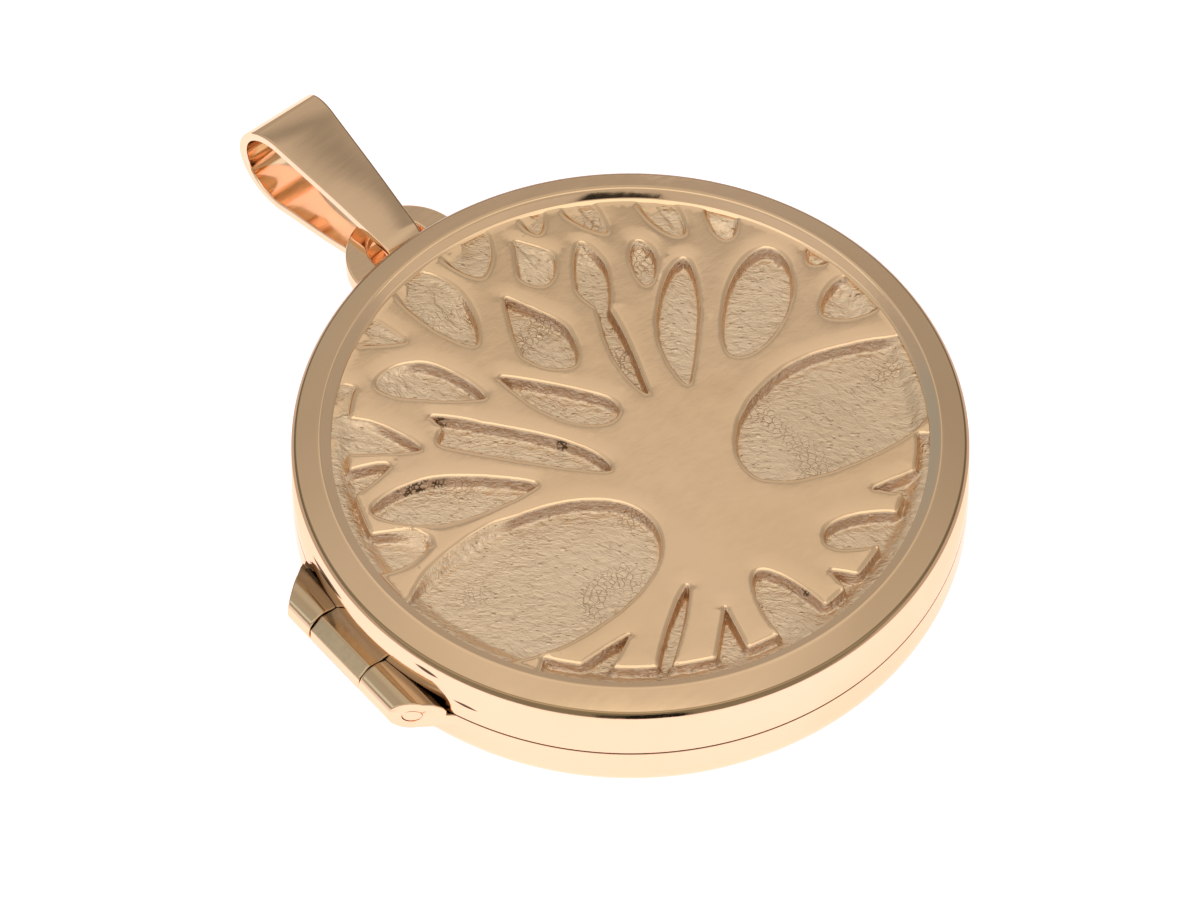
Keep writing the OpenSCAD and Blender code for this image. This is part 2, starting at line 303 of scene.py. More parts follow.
def case_profile(angle, in_channel):
    """Section of the case, from the middle of the back to the middle of the floor inside."""
    wall = np.linspace(BACK_ROUND, CASE_TOP - 0.1, 12)[1:-1]
    outside = np.concatenate([
        [[0.0, 0.0], [OUTER_R - BACK_ROUND - 0.3, 0.0]],
        arc((OUTER_R - BACK_ROUND, BACK_ROUND), BACK_ROUND, -90, 0, 24),
        np.stack([np.full(len(wall), OUTER_R), wall], 1),
    ])
    rim = rounded([
        (OUTER_R, CASE_TOP - 0.1),
        (OUTER_R, CASE_TOP, SOFT_EDGE),
        (LIP_OUT, CASE_TOP, 0.0),
        (LIP_OUT, LIP_TOP, 0.12),
        (LIP_IN, LIP_TOP, 0.12),
        (LIP_IN, LIP_ROOT, 0.1),
        (INNER_R, LIP_ROOT - 0.3, 0.1),
        (INNER_R, FLOOR_T + 1.2),
    ])
    inner_corner = BACK_ROUND - FLOOR_T
    inside = arc((INNER_R - inner_corner, FLOOR_T + inner_corner), inner_corner, 0, -90, 12)
    profile = np.concatenate([outside, rim, inside, [[0.0, FLOOR_T]]])
    if in_channel:
        # The middle knuckle turns in a channel along the wall
        dz = profile[:, 1] - SEAM_Z
        deep = CHANNEL_R ** 2 - dz ** 2
        limit = (-HINGE_X - np.sqrt(np.maximum(deep, 0.0))) / abs(math.cos(angle))
        cut = (deep > 0) & (profile[:, 0] > limit) & (profile[:, 0] > INNER_R)
        profile[cut, 0] = limit[cut]
    return profile


def make_case_shell():
    """The lower shell, whose wall has a channel for the middle knuckle."""
    ends = [hinge_angle(MID_TO + KNUCKLE_GAP), hinge_angle(MID_FROM - KNUCKLE_GAP)]
    columns = []
    for angle in angles_round(360, ends):
        inside = ends[0] <= angle <= ends[1]
        if angle == ends[1]:
            columns.append((angle, case_profile(angle, True)))
        columns.append((angle, case_profile(angle, inside and angle not in ends)))
        if angle == ends[0]:
            columns.append((angle, case_profile(angle, True)))
    return turned("case_shell", columns, SHELL_SHARP)


def cover_profile(angle):
    """Section of the cover, round its bezel, ledge and side wall."""
    low_r = OUTER_R
    if math.cos(angle) < 0:
        low_r = min(OUTER_R, RECESS_X / -math.cos(angle))
    wall = rounded([
        (INNER_R, LEDGE_BOTTOM - 0.1),
        (INNER_R, COVER_BOTTOM, SOFT_EDGE),
        (low_r, COVER_BOTTOM, SOFT_EDGE),
        (low_r, RECESS_TOP, 0.0),
        (OUTER_R, RECESS_TOP, 0.04),
        (OUTER_R, EDGE_AT[1]),
    ])
    inner = rounded([
        (BORE_R, CREST_AT[1]),
        (BORE_R, LEDGE_TOP, 0.03),
        (LEDGE_R, LEDGE_TOP, 0.05),
        (LEDGE_R, LEDGE_BOTTOM, 0.05),
        (INNER_R, LEDGE_BOTTOM, 0.2),
        (INNER_R, LEDGE_BOTTOM - 0.1),
    ])
    return np.concatenate([
        wall[:-1],
        arc(EDGE_AT, EDGE_ROUND, 0, BAND_TILT, 14),
        arc(CREST_AT, CREST_R, BAND_TILT, 180, 28),
        inner[1:-1],
    ])


def make_cover_shell():
    """The upper shell with its bezel."""
    recess_y = math.sqrt(OUTER_R ** 2 - RECESS_X ** 2)
    ends = [hinge_angle(recess_y), hinge_angle(-recess_y)]
    columns = [(a, cover_profile(a)) for a in angles_round(360, ends)]
    cover = turned("cover_shell", columns, SHELL_SHARP, closed=True)
    shade_the_cover(cover.data)
    return cover


def vertex_places(mesh):
    """Places of all vertices in millimetres, one row each."""
    places = np.empty(len(mesh.vertices) * 3, np.float32)
    mesh.vertices.foreach_get("co", places)
    return places.reshape(-1, 3).astype(float) / MM


def corner_normals(mesh):
    """Normals of all face corners, one row each."""
    normals = np.empty(len(mesh.loops) * 3, np.float32)
    mesh.corner_normals.foreach_get("vector", normals)
    return normals.reshape(-1, 3).astype(float)


def share_of(values, low, width):
    """0 to 1 while the values rise from low by this width."""
    return np.clip((values - low) / width, 0, 1)


def facing_out(at, radius, tilt):
    """Directions that face away from the middle, at this tilt above the horizontal."""
    tilt = np.radians(tilt)
    return np.column_stack([
        at[:, 0] / radius * np.cos(tilt), at[:, 1] / radius * np.cos(tilt), np.sin(tilt),
    ])


def shade_the_cover(mesh):
    """Shades the cover's side wall as slightly domed, leaning back more towards its top, and
    the bezel's crest as a narrow turn between its flat band and a flat inner face."""
    normals = corner_normals(mesh)
    corner = np.empty(len(mesh.loops), np.int32)
    mesh.loops.foreach_get("vertex_index", corner)
    at = vertex_places(mesh)[corner]
    radius, z = np.hypot(at[:, 0], at[:, 1]), at[:, 2]
    low_z = COVER_BOTTOM + SOFT_EDGE
    lean = WALL_LEAN * share_of(z, low_z, EDGE_AT[1] - low_z)
    over = np.degrees(np.arctan2(z - EDGE_AT[1], np.maximum(radius - EDGE_AT[0], 1e-6)))
    over = np.clip(over, 0, BAND_TILT)
    lean = np.where(z > EDGE_AT[1], np.interp(over, *np.transpose(EDGE_LEAN)), lean)
    on_wall = (z > low_z + 0.01) & (radius > EDGE_AT[0] + 0.05) & (normals[:, 2] > -0.5)
    outward = (normals[:, :2] * at[:, :2]).sum(1) > 0.2
    on_wall &= outward & (over < BAND_TILT - 0.5)
    normals[on_wall] = facing_out(at, radius, lean)[on_wall]
    round_the_crest = np.degrees(np.arctan2(z - CREST_AT[1], radius - CREST_AT[0]))
    away = np.hypot(z - CREST_AT[1], radius - CREST_AT[0])
    on_crest = (np.abs(away - CREST_R) < 0.01) & (round_the_crest > BAND_TILT + 0.5)
    behind = at[:, :2] @ SOFT_SIDE / np.maximum(radius, 1e-6)
    turn = np.minimum(np.interp(round_the_crest, *np.transpose(CREST_FACING)),
                      np.interp(behind, *np.transpose(CREST_LIMIT)))
    normals[on_crest] = facing_out(at, radius, turn)[on_crest]
    mesh.normals_split_custom_set(normals.tolist())


def unit(rows):
    """Directions of length 1, from rows of two numbers."""
    return rows / np.maximum(np.hypot(*rows.T)[:, None], 1e-9)


def outwards(run):
    """Directions square to these runs, to their right."""
    run = unit(run)
    return np.stack([run[:, 1], -run[:, 0]], 1)


def shrink(loop, by):
    """Moves each point of a closed loop inwards, square to the loop."""
    return loop - outwards(np.roll(loop, -1, 0) - np.roll(loop, 1, 0)) * by


def along_the_hinge(rows):
    """Points of rows (loop, y) round the hinge's axis."""
    return np.concatenate([
        np.stack([HINGE_X + loop[:, 0], y, SEAM_Z + loop[:, 1]], 1) for loop, y in rows
    ])


def make_bar(name, section, hole_r, start, end):
    """A bar along the hinge. start and end give y at each point of the section, which is
    drawn from the hinge's axis, as (towards the locket, up), counter-clockwise."""
    turn = np.arctan2(section[:, 1], section[:, 0])
    hole = np.stack([np.cos(turn), np.sin(turn)], 1) * hole_r
    soft = SOFT_EDGE
    small = shrink(section, soft)
    rows = []
    for y_at, way in ((start, 1), (end, -1)):
        y, hole_y = y_at(section), y_at(hole)
        rows += [
            (hole, hole_y),
            (hole + (small - hole) * 0.9, hole_y + (y - hole_y) * 0.9),
            (small, y),
            (shrink(section, soft * 0.3), y + way * soft * 0.3),
            (section, y + way * soft),
            (section, y + way * 2 * soft),
        ][::way]
    faces = grid_faces(len(rows), len(section), True, True, flip=True)
    return new_object(name, along_the_hinge(rows), faces, BAR_SHARP)


def with_leaf(barrel, leaf):
    """Closes the section of a barrel with its leaf, whose last corner is the barrel's first."""
    flat = rounded([tuple(barrel[-1])] + leaf[:-1] + [tuple(barrel[0])])
    return np.concatenate([barrel, flat[1:-1]])


def barrel_with_leaf(bottom_z, leaf):
    """Section of a knuckle: the round barrel, whose leaf runs on to the locket's wall."""
    first = math.degrees(math.asin(leaf[-1][1] / BARREL_R))
    last = math.degrees(math.asin(bottom_z / BARREL_R))
    return with_leaf(arc((0.0, 0.0), BARREL_R, first, 360 + last, 56), leaf)


def flared(sign):
    """The slanted end of the hinge, on the +Y or the -Y side."""
    return lambda points: sign * (HINGE_HALF + FLARE * points[:, 0])


def straight(y):
    """An end square to the hinge."""
    return lambda points: np.full(len(points), float(y))


def make_outer_knuckles():
    """The two knuckles on the case, with slanted outer ends."""
    low = -0.8
    rim = CASE_TOP - SEAM_Z
    leaf = [
        (1.6, low, 0.0), (1.6, rim, 0.0), (1.16, rim, 0.0),
        (1.16, 0.24, 0.08), (1.03, 0.5, 0.12), (0.74, 0.69, 0.2), (0.38, 0.738),
    ]
    section = barrel_with_leaf(low, leaf)
    split_a, split_b = MID_TO + KNUCKLE_GAP, MID_FROM - KNUCKLE_GAP
    return [
        make_bar("case_knuckle_bail_side", section, PIN_HOLE_R, straight(split_a), flared(1)),
        make_bar("case_knuckle_far_side", section, PIN_HOLE_R, flared(-1), straight(split_b)),
    ]


def make_middle_knuckle():
    """The knuckle on the cover, whose leaf fills the flat in the cover's wall."""
    rim = COVER_BOTTOM - SEAM_Z
    deep = -RECESS_X - HINGE_X + 0.1
    top = RECESS_TOP - SEAM_Z
    leaf = [(deep, rim, 0.0), (deep, top + 0.1, 0.0), (0.37, top + 0.014)]
    first = math.degrees(math.asin(leaf[-1][1] / BARREL_R))
    last = math.degrees(math.asin(rim / BARREL_R))
    # The top is worn to facets, which meet in soft ridges
    crown = [
        (BARREL_R * math.cos(math.radians(a)), BARREL_R * math.sin(math.radians(a)), 0.12)
        for a in (first, 104.0, 158.0, 200.0)
    ]
    barrel = np.concatenate([rounded(crown), arc((0.0, 0.0), BARREL_R, 206, 360 + last, 40)])
    section = with_leaf(barrel, leaf)
    return make_bar("cover_knuckle", section, COVER_HOLE_R, straight(MID_FROM), straight(MID_TO))


def make_pin():
    """The hinge pin, with slightly domed ends that follow the slant of the hinge."""
    count = 40
    ring = arc((0.0, 0.0), 1.0, 0, 360, count)[:-1]
    rows = []
    for side in (-1, 1):
        for radius, sink in PIN_DOME[::-side]:
            loop = ring * radius
            rows.append((loop, side * (HINGE_HALF + FLARE * loop[:, 0] - sink)))
    faces = grid_faces(len(rows), count, False, True, flip=True)
    faces.append(tuple(range(count)))
    faces.append(tuple(range((len(rows) - 1) * count, len(rows) * count))[::-1])
    return new_object("hinge_pin_rod", along_the_hinge(rows), faces, BAR_SHARP)


def tab_reach(angle):
    """How far the tab's outline is from the middle of its eye, in this direction."""
    c, s = math.cos(angle), math.sin(angle)
    off = EYE_Y - TAB_Y
    reach = -off * s + math.sqrt(TAB_R ** 2 - off ** 2 * c ** 2)
    buried_r = INNER_R + 0.1
    inside = (EYE_Y * s) ** 2 - (EYE_Y ** 2 - buried_r ** 2)
    if s < 0 and inside > 0:
        reach = min(reach, -EYE_Y * s - math.sqrt(inside))
    return reach


def make_tab():
    """The flat tab with the eye that carries the bail."""
    middle = (TAB_TOP + TAB_BOTTOM) / 2
    columns = []
    for angle in angles_round(180):
        out = tab_reach(angle)
        profile = rounded([
            (EYE_R, middle),
            (EYE_R, TAB_BOTTOM, TAB_SOFT),
            (out, TAB_BOTTOM, TAB_SOFT),
            (out, TAB_TOP, TAB_SOFT),
            (EYE_R, TAB_TOP, TAB_SOFT),
            (EYE_R, middle),
        ])
        columns.append((angle, profile[:-1]))
    return turned("bail_tab", columns, BAR_SHARP, centre=(0.0, EYE_Y), closed=True)


def bail_path():
    """Middle line of the ribbon, as (y, z) and its outward direction, counter-clockwise."""
    near, far = np.array(BAIL_NEAR), np.array(BAIL_FAR)
    r_near, r_far = BAIL_NEAR_R - RIBBON_T / 2, BAIL_FAR_R - RIBBON_T / 2
    run = far - near
    lean = math.atan2(run[1], run[0])
    up = lean + math.acos((r_near - r_far) / np.hypot(*run))
    down = 2 * lean - up
    bulge_up, bulge_down = 0.05, 0.15
    points = []

    def leg(start, end, normal, bulge):
        """A leg of the loop, which bulges in its middle."""
        for t in np.linspace(0, 1, 41)[1:-1]:
            along = start + (end - start) * t
            points.append(along + normal * bulge * 16 * (t * (1 - t)) ** 2)

    def turn(centre, radius, first, last):
        """A round end of the loop."""
        for t in np.linspace(first, last, 49):
            points.append(centre + radius * np.array([math.cos(t), math.sin(t)]))

    n_up = np.array([math.cos(up), math.sin(up)])
    n_down = np.array([math.cos(down), math.sin(down)])
    turn(near, r_near, up, down + 2 * math.pi)
    leg(near + n_down * r_near, far + n_down * r_far, n_down, bulge_down)
    turn(far, r_far, down, up)
    leg(far + n_up * r_far, near + n_up * r_near, n_up, bulge_up)
    points = np.array(points)
    return points, outwards(np.roll(points, -1, 0) - np.roll(points, 1, 0))


class Value:
    """A number, vector or colour in a node tree. Arithmetic with it adds nodes."""

    def __init__(self, nodes, socket):
        self.nodes, self.socket = nodes, socket

    def __add__(self, other):
        return self.nodes.math("ADD", self, other)

    def __radd__(self, other):
        return self.nodes.math("ADD", other, self)

    def __sub__(self, other):
        return self.nodes.math("SUBTRACT", self, other)

    def __rsub__(self, other):
        return self.nodes.math("SUBTRACT", other, self)

    def __mul__(self, other):
        return self.nodes.math("MULTIPLY", self, other)

    def __rmul__(self, other):
        return self.nodes.math("MULTIPLY", other, self)

    def __truediv__(self, other):
        return self.nodes.math("DIVIDE", self, other)

    def __pow__(self, other):
        return self.nodes.math("POWER", self, other)


class NodeTree:
    """A Geometry Nodes or shader tree that is written one node a line."""

    def __init__(self, tree):
        self.tree = tree

    def put(self, value, socket):
        """Links a value of the tree to a socket, or sets the socket to a plain one."""
        if isinstance(value, Value):
            self.tree.links.new(value.socket, socket)
        else:
            socket.default_value = value

    def add(self, kind, values=None, **settings):
        """Adds a node, with its settings and the values of its inputs."""
        made = self.tree.nodes.new(kind)
        for name, value in settings.items():
            setattr(made, name, value)
        for name, value in (values or {}).items():
            self.put(value, made.inputs[name])
        return made

    def outputs(self, titles, kind, values=None, **settings):
        """Adds a node and gives these outputs of it."""
        made = self.add(kind, values, **settings)
        return [Value(self, made.outputs[title]) for title in titles]

    def get(self, kind, output, values=None, **settings):
        """Adds a node and gives one output of it."""
        return self.outputs([output], kind, values, **settings)[0]

    def math(self, operation, *values, clamp=False):
        """Arithmetic on numbers, or on vectors where one of the values is no number."""
        on_vectors = any(
            v.socket.type != "VALUE" if isinstance(v, Value) else isinstance(v, tuple)
            for v in values
        )
        values = dict(enumerate(values))
        if not on_vectors:
            return self.get("ShaderNodeMath", 0, values, operation=operation, use_clamp=clamp)
        output = "Value" if operation in {"LENGTH", "DOT_PRODUCT"} else "Vector"
        return self.get("ShaderNodeVectorMath", output, values, operation=operation)

    def largest(self, first, *others):
        for other in others:
            first = self.math("MAXIMUM", first, other)
        return first

    def ramp(self, value, low, high, to_low=0.0, to_high=1.0, smooth=True):
        """A value that goes from one number to another while the first one rises."""
        return self.get("ShaderNodeMapRange", "Result", {
            "Value": value, "From Min": low, "From Max": high,
            "To Min": to_low, "To Max": to_high,
        }, interpolation_type="SMOOTHSTEP" if smooth else "LINEAR")

    def parts(self, vector):
        """The three parts of a vector."""
        return self.outputs("XYZ", "ShaderNodeSeparateXYZ", {"Vector": vector})

    def vector(self, x, y, z):
        return self.get("ShaderNodeCombineXYZ", "Vector", {"X": x, "Y": y, "Z": z})

    def noise(self, vector, scale, detail, output="Fac", **more):
        """Cloudy values round 0.5, or cloudy colours."""
        values = {"Vector": vector, "Scale": scale, "Detail": detail, **more}
        return self.get("ShaderNodeTexNoise", output, values)

    def between(self, share, a, b):
        """A number between two others."""
        return self.get("ShaderNodeMix", 0, {"Factor": share, "A": a, "B": b})

    def mix(self, share, a, b, **settings):
        """A colour between two others, which may be plain (red, green, blue)."""
        a, b = (c if isinstance(c, Value) else (*c, 1.0) for c in (a, b))
        return self.get("ShaderNodeMix", 2, {0: share, 6: a, 7: b}, data_type="RGBA", **settings)


def new_tree(name, kind, inputs, outputs):
    """A node group with named inputs and outputs, each as (title, kind and maybe value)."""
    tree = bpy.data.node_groups.new(name, kind + "NodeTree")
    for way, rows in (("INPUT", inputs), ("OUTPUT", outputs)):
        for title, socket_kind, *value in rows:
            made = tree.interface.new_socket(title, in_out=way,
                                             socket_type="NodeSocket" + socket_kind)
            if value:
                made.default_value = value[0]
    n = NodeTree(tree)
    given = {s.name: Value(n, s) for s in n.add("NodeGroupInput").outputs}
    return n, given, n.add("NodeGroupOutput").inputs


# The kind of a Geometry Nodes input, by the kind of its value
SOCKET_KINDS = {float: "Float", tuple: "Vector", bpy.types.Material: "Material"}


def run_geometry(obj, name, build, values):
    """Runs a Geometry Nodes tree with these named inputs on an object once, and gives the
    object the plain mesh that comes out. Every tree ends with real instances in the metal."""
    inputs = [(title, SOCKET_KINDS[type(value)]) for title, value in values.items()]
    n, given, result = new_tree(name, "Geometry", [("Geometry", "Geometry")] + inputs,
                                [("Geometry", "Geometry")])
    real = n.get("GeometryNodeRealizeInstances", "Geometry", {"Geometry": build(n, given)})
    metal = n.get("GeometryNodeSetMaterial", "Geometry", {
        "Geometry": real, "Material": given["Metal"],
    })
    n.put(metal, result["Geometry"])
    modifier = obj.modifiers.new("Nodes", "NODES")
    modifier.node_group = n.tree
    for item in n.tree.interface.items_tree:
        if item.in_out == "INPUT" and item.name in values:
            modifier[item.identifier] = values[item.name]
    graph = bpy.context.evaluated_depsgraph_get()
    graph.update()
    made = bpy.data.meshes.new_from_object(obj.evaluated_get(graph))
    obj.modifiers.remove(modifier)
    obj.data = made


def ribbon_nodes(n, given):
    """A ribbon along a closed path in the YZ plane, whose width changes evenly along Y."""
    path = n.get("GeometryNodeMeshToCurve", "Curve", {"Mesh": given["Geometry"]})
    section = n.get("GeometryNodeCurvePrimitiveQuadrilateral", "Curve", {
        "Width": given["Root width"], "Height": given["Thickness"],
    })
    soft = n.get("GeometryNodeFilletCurve", "Curve", {
        "Curve": section, "Radius": given["Soft edge"], "Count": 4,
    }, mode="POLY")
    swept = n.get("GeometryNodeCurveToMesh", "Mesh", {"Curve": path, "Profile Curve": soft})
    x, y, z = n.parts(n.get("GeometryNodeInputPosition", "Position"))
    width = n.ramp(y, given["Root at"], given["Tip at"],
                   given["Root width"], given["Tip width"], smooth=False)
    return n.get("GeometryNodeSetPosition", "Geometry", {
        "Geometry": swept, "Position": n.vector(x * (width / given["Root width"]), y, z),
    })


def make_bail(metal):
    """The ribbon bail, bent to a closed loop that narrows towards the eye."""
    points = bail_path()[0]
    count = len(points)
    path = np.column_stack([np.zeros(count), points])
    edges = [(i, (i + 1) % count) for i in range(count)]
    obj = in_scene("bail_ribbon", new_mesh("bail_ribbon", path, edges=edges))
    run_geometry(obj, "Ribbon along a path", ribbon_nodes, {
        "Thickness": RIBBON_T * MM, "Soft edge": RIBBON_SOFT * MM,
        "Root at": BAIL_ROOT_Y * MM, "Root width": BAIL_ROOT_W * MM,
        "Tip at": BAIL_TIP_Y * MM, "Tip width": BAIL_TIP_W * MM, "Metal": metal,
    })
    merge_and_smooth(obj.data, SHELL_SHARP)
    mark_the_ribbon(obj.data)
    level_the_top(obj.data)
    return obj


def mark_the_ribbon(mesh):
    """Stores where the ribbon is painted: a painted glow of reflected light on its inner side, and
    painted shade on its upper face.
    """
    place = vertex_places(mesh)
    points, normals = bail_path()
    away = place[:, None, 1:] - points[None, :, :]
    nearest = np.hypot(away[..., 0], away[..., 1]).argmin(1)
    out = normals[nearest]
    side = (away[np.arange(len(place)), nearest] * out).sum(1)
    past_the_eye = share_of(place[:, 1] - EYE_Y, 0.6, 0.8)
    facing_up = share_of(out[:, 1], 0.8, 0.12)
    store(mesh, "inner_side", share_of(-side, 0.12, 0.06) * past_the_eye)
    store(mesh, "upper_face", share_of(side, 0.17, 0.04) * facing_up)


def store(mesh, name, values):
    """Stores a number for each vertex."""
    mesh.attributes.new(name, "FLOAT", "POINT").data.foreach_set("value", values)


def level_the_top(mesh):
    """Shades the top of the ribbon as hammered level, with a quick turn at its far end."""
    normals = corner_normals(mesh)
    normals[:, 1] += TOP_LEVELLING * share_of(normals[:, 2], 0.8, 0.17)
    length = np.hypot(normals[:, 1], normals[:, 2])
    lean = np.degrees(np.arctan2(normals[:, 1], normals[:, 2]))
    lean = np.radians(np.interp(lean, *np.transpose(TIP_TURN)))
    turning = (normals[:, 2] > 0) & (normals[:, 1] > 0)
    normals[turning, 1] = (length * np.sin(lean))[turning]
    normals[turning, 2] = (length * np.cos(lean))[turning]
    normals /= np.linalg.norm(normals, axis=1)[:, None]
    mesh.normals_split_custom_set(normals.tolist())


def merge_and_smooth(mesh, sharp_above):
    """Merges doubles, turns all faces outwards and shades them smooth."""
    form = bmesh.new()
    form.from_mesh(mesh)
    bmesh.ops.remove_doubles(form, verts=form.verts, dist=0.0005 * MM)
    bmesh.ops.recalc_face_normals(form, faces=form.faces)
    form.to_mesh(mesh)
    form.free()
    shade_smooth(mesh, sharp_above)


# The tree: a gap's outline is followed by rings of points, this far inside the tree (+) or
# inside the gap (-), so that shoulder, wall and ground follow it smoothly
RING_OFFSETS = [
    0.62, 0.46, 0.33, 0.22, 0.14, 0.08, 0.04, 0.0, -0.03, -0.07, -0.12, -0.17, -0.22,
    -0.27, -0.33,
]
RING_STEP = 0.10
TOP_STEP = 0.16
GROUND_STEP = 0.07


def tree_edges():
    """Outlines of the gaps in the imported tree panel, as (points, closed), gap on the left."""
    form = bmesh.new()
    form.from_mesh(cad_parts["tree_panel"].data)
    bmesh.ops.remove_doubles(form, verts=form.verts, dist=0.001 * MM)
    top = {
        f for f in form.faces
        if f.normal.z > 0.9 and abs(f.calc_center_median().z / MM - TREE_TOP) < 0.02
    }
    following = {}
    for face in top:
        for loop in face.loops:
            if any(g in top for g in loop.edge.link_faces if g is not face):
                continue
            a, b = loop.vert, loop.link_loop_next.vert
            at_a, at_b = np.array(a.co.xy) / MM, np.array(b.co.xy) / MM
            if min(np.hypot(*at_a), np.hypot(*at_b)) < PANEL_R - 0.02:
                following[b.index] = (a.index, at_b, at_a)
    form.free()
    starts = sorted(set(following) - {step[0] for step in following.values()})
    chains, used = [], set()
    for start in starts + sorted(following):
        if start in used:
            continue
        points, k = [following[start][1]], start
        while k in following and k not in used:
            used.add(k)
            points.append(following[k][2])
            k = following[k][0]
        chains.append((np.array(points), start not in starts))
    return chains


def even_steps(points, step):
    """Points at even steps along a polyline."""
    run = np.hypot(*np.diff(points, axis=0).T)
    along = np.concatenate([[0.0], np.cumsum(run)])
    count = max(8, int(round(along[-1] / step)))
    at = np.linspace(0, along[-1], count + 1)
    return np.stack([np.interp(at, along, points[:, k]) for k in (0, 1)], 1)


def flowing(points, closed, soft=0.07, fine=0.03):
    """Draws a smooth curve through a polyline: shallow corners vanish, sharp ones soften."""
    if closed:
        points = points[:-1]
        before, after = np.roll(points, 1, 0), np.roll(points, -1, 0)
    else:
        tail = points[-1] * (1 + 1.5 / np.hypot(*points[-1]))
        head = points[0] * (1 + 1.5 / np.hypot(*points[0]))
        points = np.concatenate([[head], points, [tail]])
        before = np.concatenate([points[:1], points[:-1]])
        after = np.concatenate([points[1:], points[-1:]])
    came, goes = points - before, after - points
    turn = np.abs(np.angle(
        (goes[:, 0] + 1j * goes[:, 1]) * np.conj(came[:, 0] + 1j * came[:, 1])
    ))
    across = unit(after - before)
    shallow = turn < math.radians(38)
    pieces = []
    count = len(points)
    for i in range(count if closed else count - 1):
        j = (i + 1) % count
        p, q = points[i], points[j]
        length = np.hypot(*(q - p))
        if length < 1e-6:
            continue
        straight_on = (q - p) / length
        m0 = (across[i] if shallow[i] else straight_on) * length
        m1 = (across[j] if shallow[j] else straight_on) * length
        t = np.linspace(0, 1, max(2, int(length / fine)), endpoint=False)[:, None]
        pieces.append(
            (2 * t ** 3 - 3 * t ** 2 + 1) * p + (t ** 3 - 2 * t ** 2 + t) * m0
            + (3 * t ** 2 - 2 * t ** 3) * q + (t ** 3 - t ** 2) * m1
        )
    pieces.append(points[:1] if closed else points[-1:])
    curve = even_steps(np.concatenate(pieces), fine)
    reach = int(3 * soft / fine)
    weights = np.exp(-0.5 * (np.arange(-reach, reach + 1) * fine / soft) ** 2)
    weights /= weights.sum()
    if closed:
        wide = np.concatenate([curve[-reach - 1:-1], curve, curve[1:reach + 1]])
    else:
        wide = np.concatenate([curve[:1]] * reach + [curve] + [curve[-1:]] * reach)
    curve = np.stack([np.convolve(wide[:, k], weights, "valid") for k in (0, 1)], 1)
    return even_steps(curve, RING_STEP)


class GapEdges:
    """The smooth outlines of all gaps, and the distance of any point from them."""

    def __init__(self):
        starts, ends, sides = [], [], []
        self.rings = []
        for points, closed in tree_edges():
            curve = flowing(points, closed)
            run = np.diff(curve, axis=0)
            if closed:
                tangent = run + np.roll(run, 1, 0)
                tangent = np.concatenate([tangent, tangent[:1]])
            else:
                tangent = np.concatenate([run[:1], run[1:] + run[:-1], run[-1:]])
            normal = outwards(tangent)
            last = -1 if closed else None
            self.rings.append((curve[:last], normal[:last]))
            starts.append(curve[:-1])
            ends.append(curve[1:])
            sides.append(normal[:-1] + normal[1:])
        self.start = np.concatenate(starts)
        self.end = np.concatenate(ends)
        self.side = np.concatenate(sides)
        self.tree = kdtree.KDTree(len(self.start))
        for i, p in enumerate((self.start + self.end) / 2):
            self.tree.insert((p[0], p[1], 0.0), i)
        self.tree.balance()

    def distance(self, points):
        """Distance of points from the nearest outline, more than 0 on the tree, and how far
        that outline is on the soft side of its gap, from -1 to 1."""
        near = np.array([
            [hit[1] for hit in self.tree.find_n((p[0], p[1], 0.0), 3)] for p in points
        ])
        best = np.full(len(points), 1e9)
        signed = np.zeros(len(points))
        soft = np.zeros(len(points))
        for k in range(3):
            a, b = self.start[near[:, k]], self.end[near[:, k]]
            run = b - a
            t = np.clip(((points - a) * run).sum(1) / (run ** 2).sum(1), 0, 1)[:, None]
            away = points - (a + run * t)
            far = np.hypot(*away.T)
            outward = self.side[near[:, k]]
            side = (away * outward).sum(1)
            closer = far < best
            best = np.where(closer, far, best)
            signed = np.where(closer, np.where(side >= 0, far, -far), signed)
            soft = np.where(closer, outward @ SOFT_SIDE / np.hypot(*outward.T), soft)
        return signed, soft


def panel_points(edges):
    """Points over the panel: rings along the outlines, and an even net between them."""
    rim_count = int(2 * math.pi * PANEL_SEAT_R / RING_STEP)
    rim = arc((0.0, 0.0), PANEL_SEAT_R, 0, 360, rim_count)[:-1]
    inner_rim = np.concatenate([rim * (1 - step / PANEL_SEAT_R) for step in (0.05, 0.11)])
    sets = []
    for offset in RING_OFFSETS:
        for curve, normal in edges.rings:
            sets.append(curve + normal * offset)
    rings = np.concatenate(sets)
    offsets = np.concatenate([
        np.full(sum(len(curve) for curve, _ in edges.rings), o) for o in RING_OFFSETS
    ])
    inside = np.hypot(*rings.T) < PANEL_R - 0.14
    rings, offsets = rings[inside], offsets[inside]
    true_distance = edges.distance(rings)[0]
    rings = rings[np.abs(true_distance - offsets) < 0.02]
    nets = []
    for step, low, high in ((TOP_STEP, 0.70, 99.0), (GROUND_STEP, -99.0, -0.38)):
        reach = int(PANEL_R / step) + 1
        i, j = np.meshgrid(np.arange(-reach, reach + 1), np.arange(-reach, reach + 1))
        net = np.stack([(i + 0.5 * (j % 2)).ravel() * step, j.ravel() * step * 0.866], 1)
        net = net[np.hypot(*net.T) < PANEL_R - 0.16]
        far = edges.distance(net)[0]
        nets.append(net[(far > low) & (far < high)])
    return rim, np.concatenate([rim, inner_rim, rings] + nets)


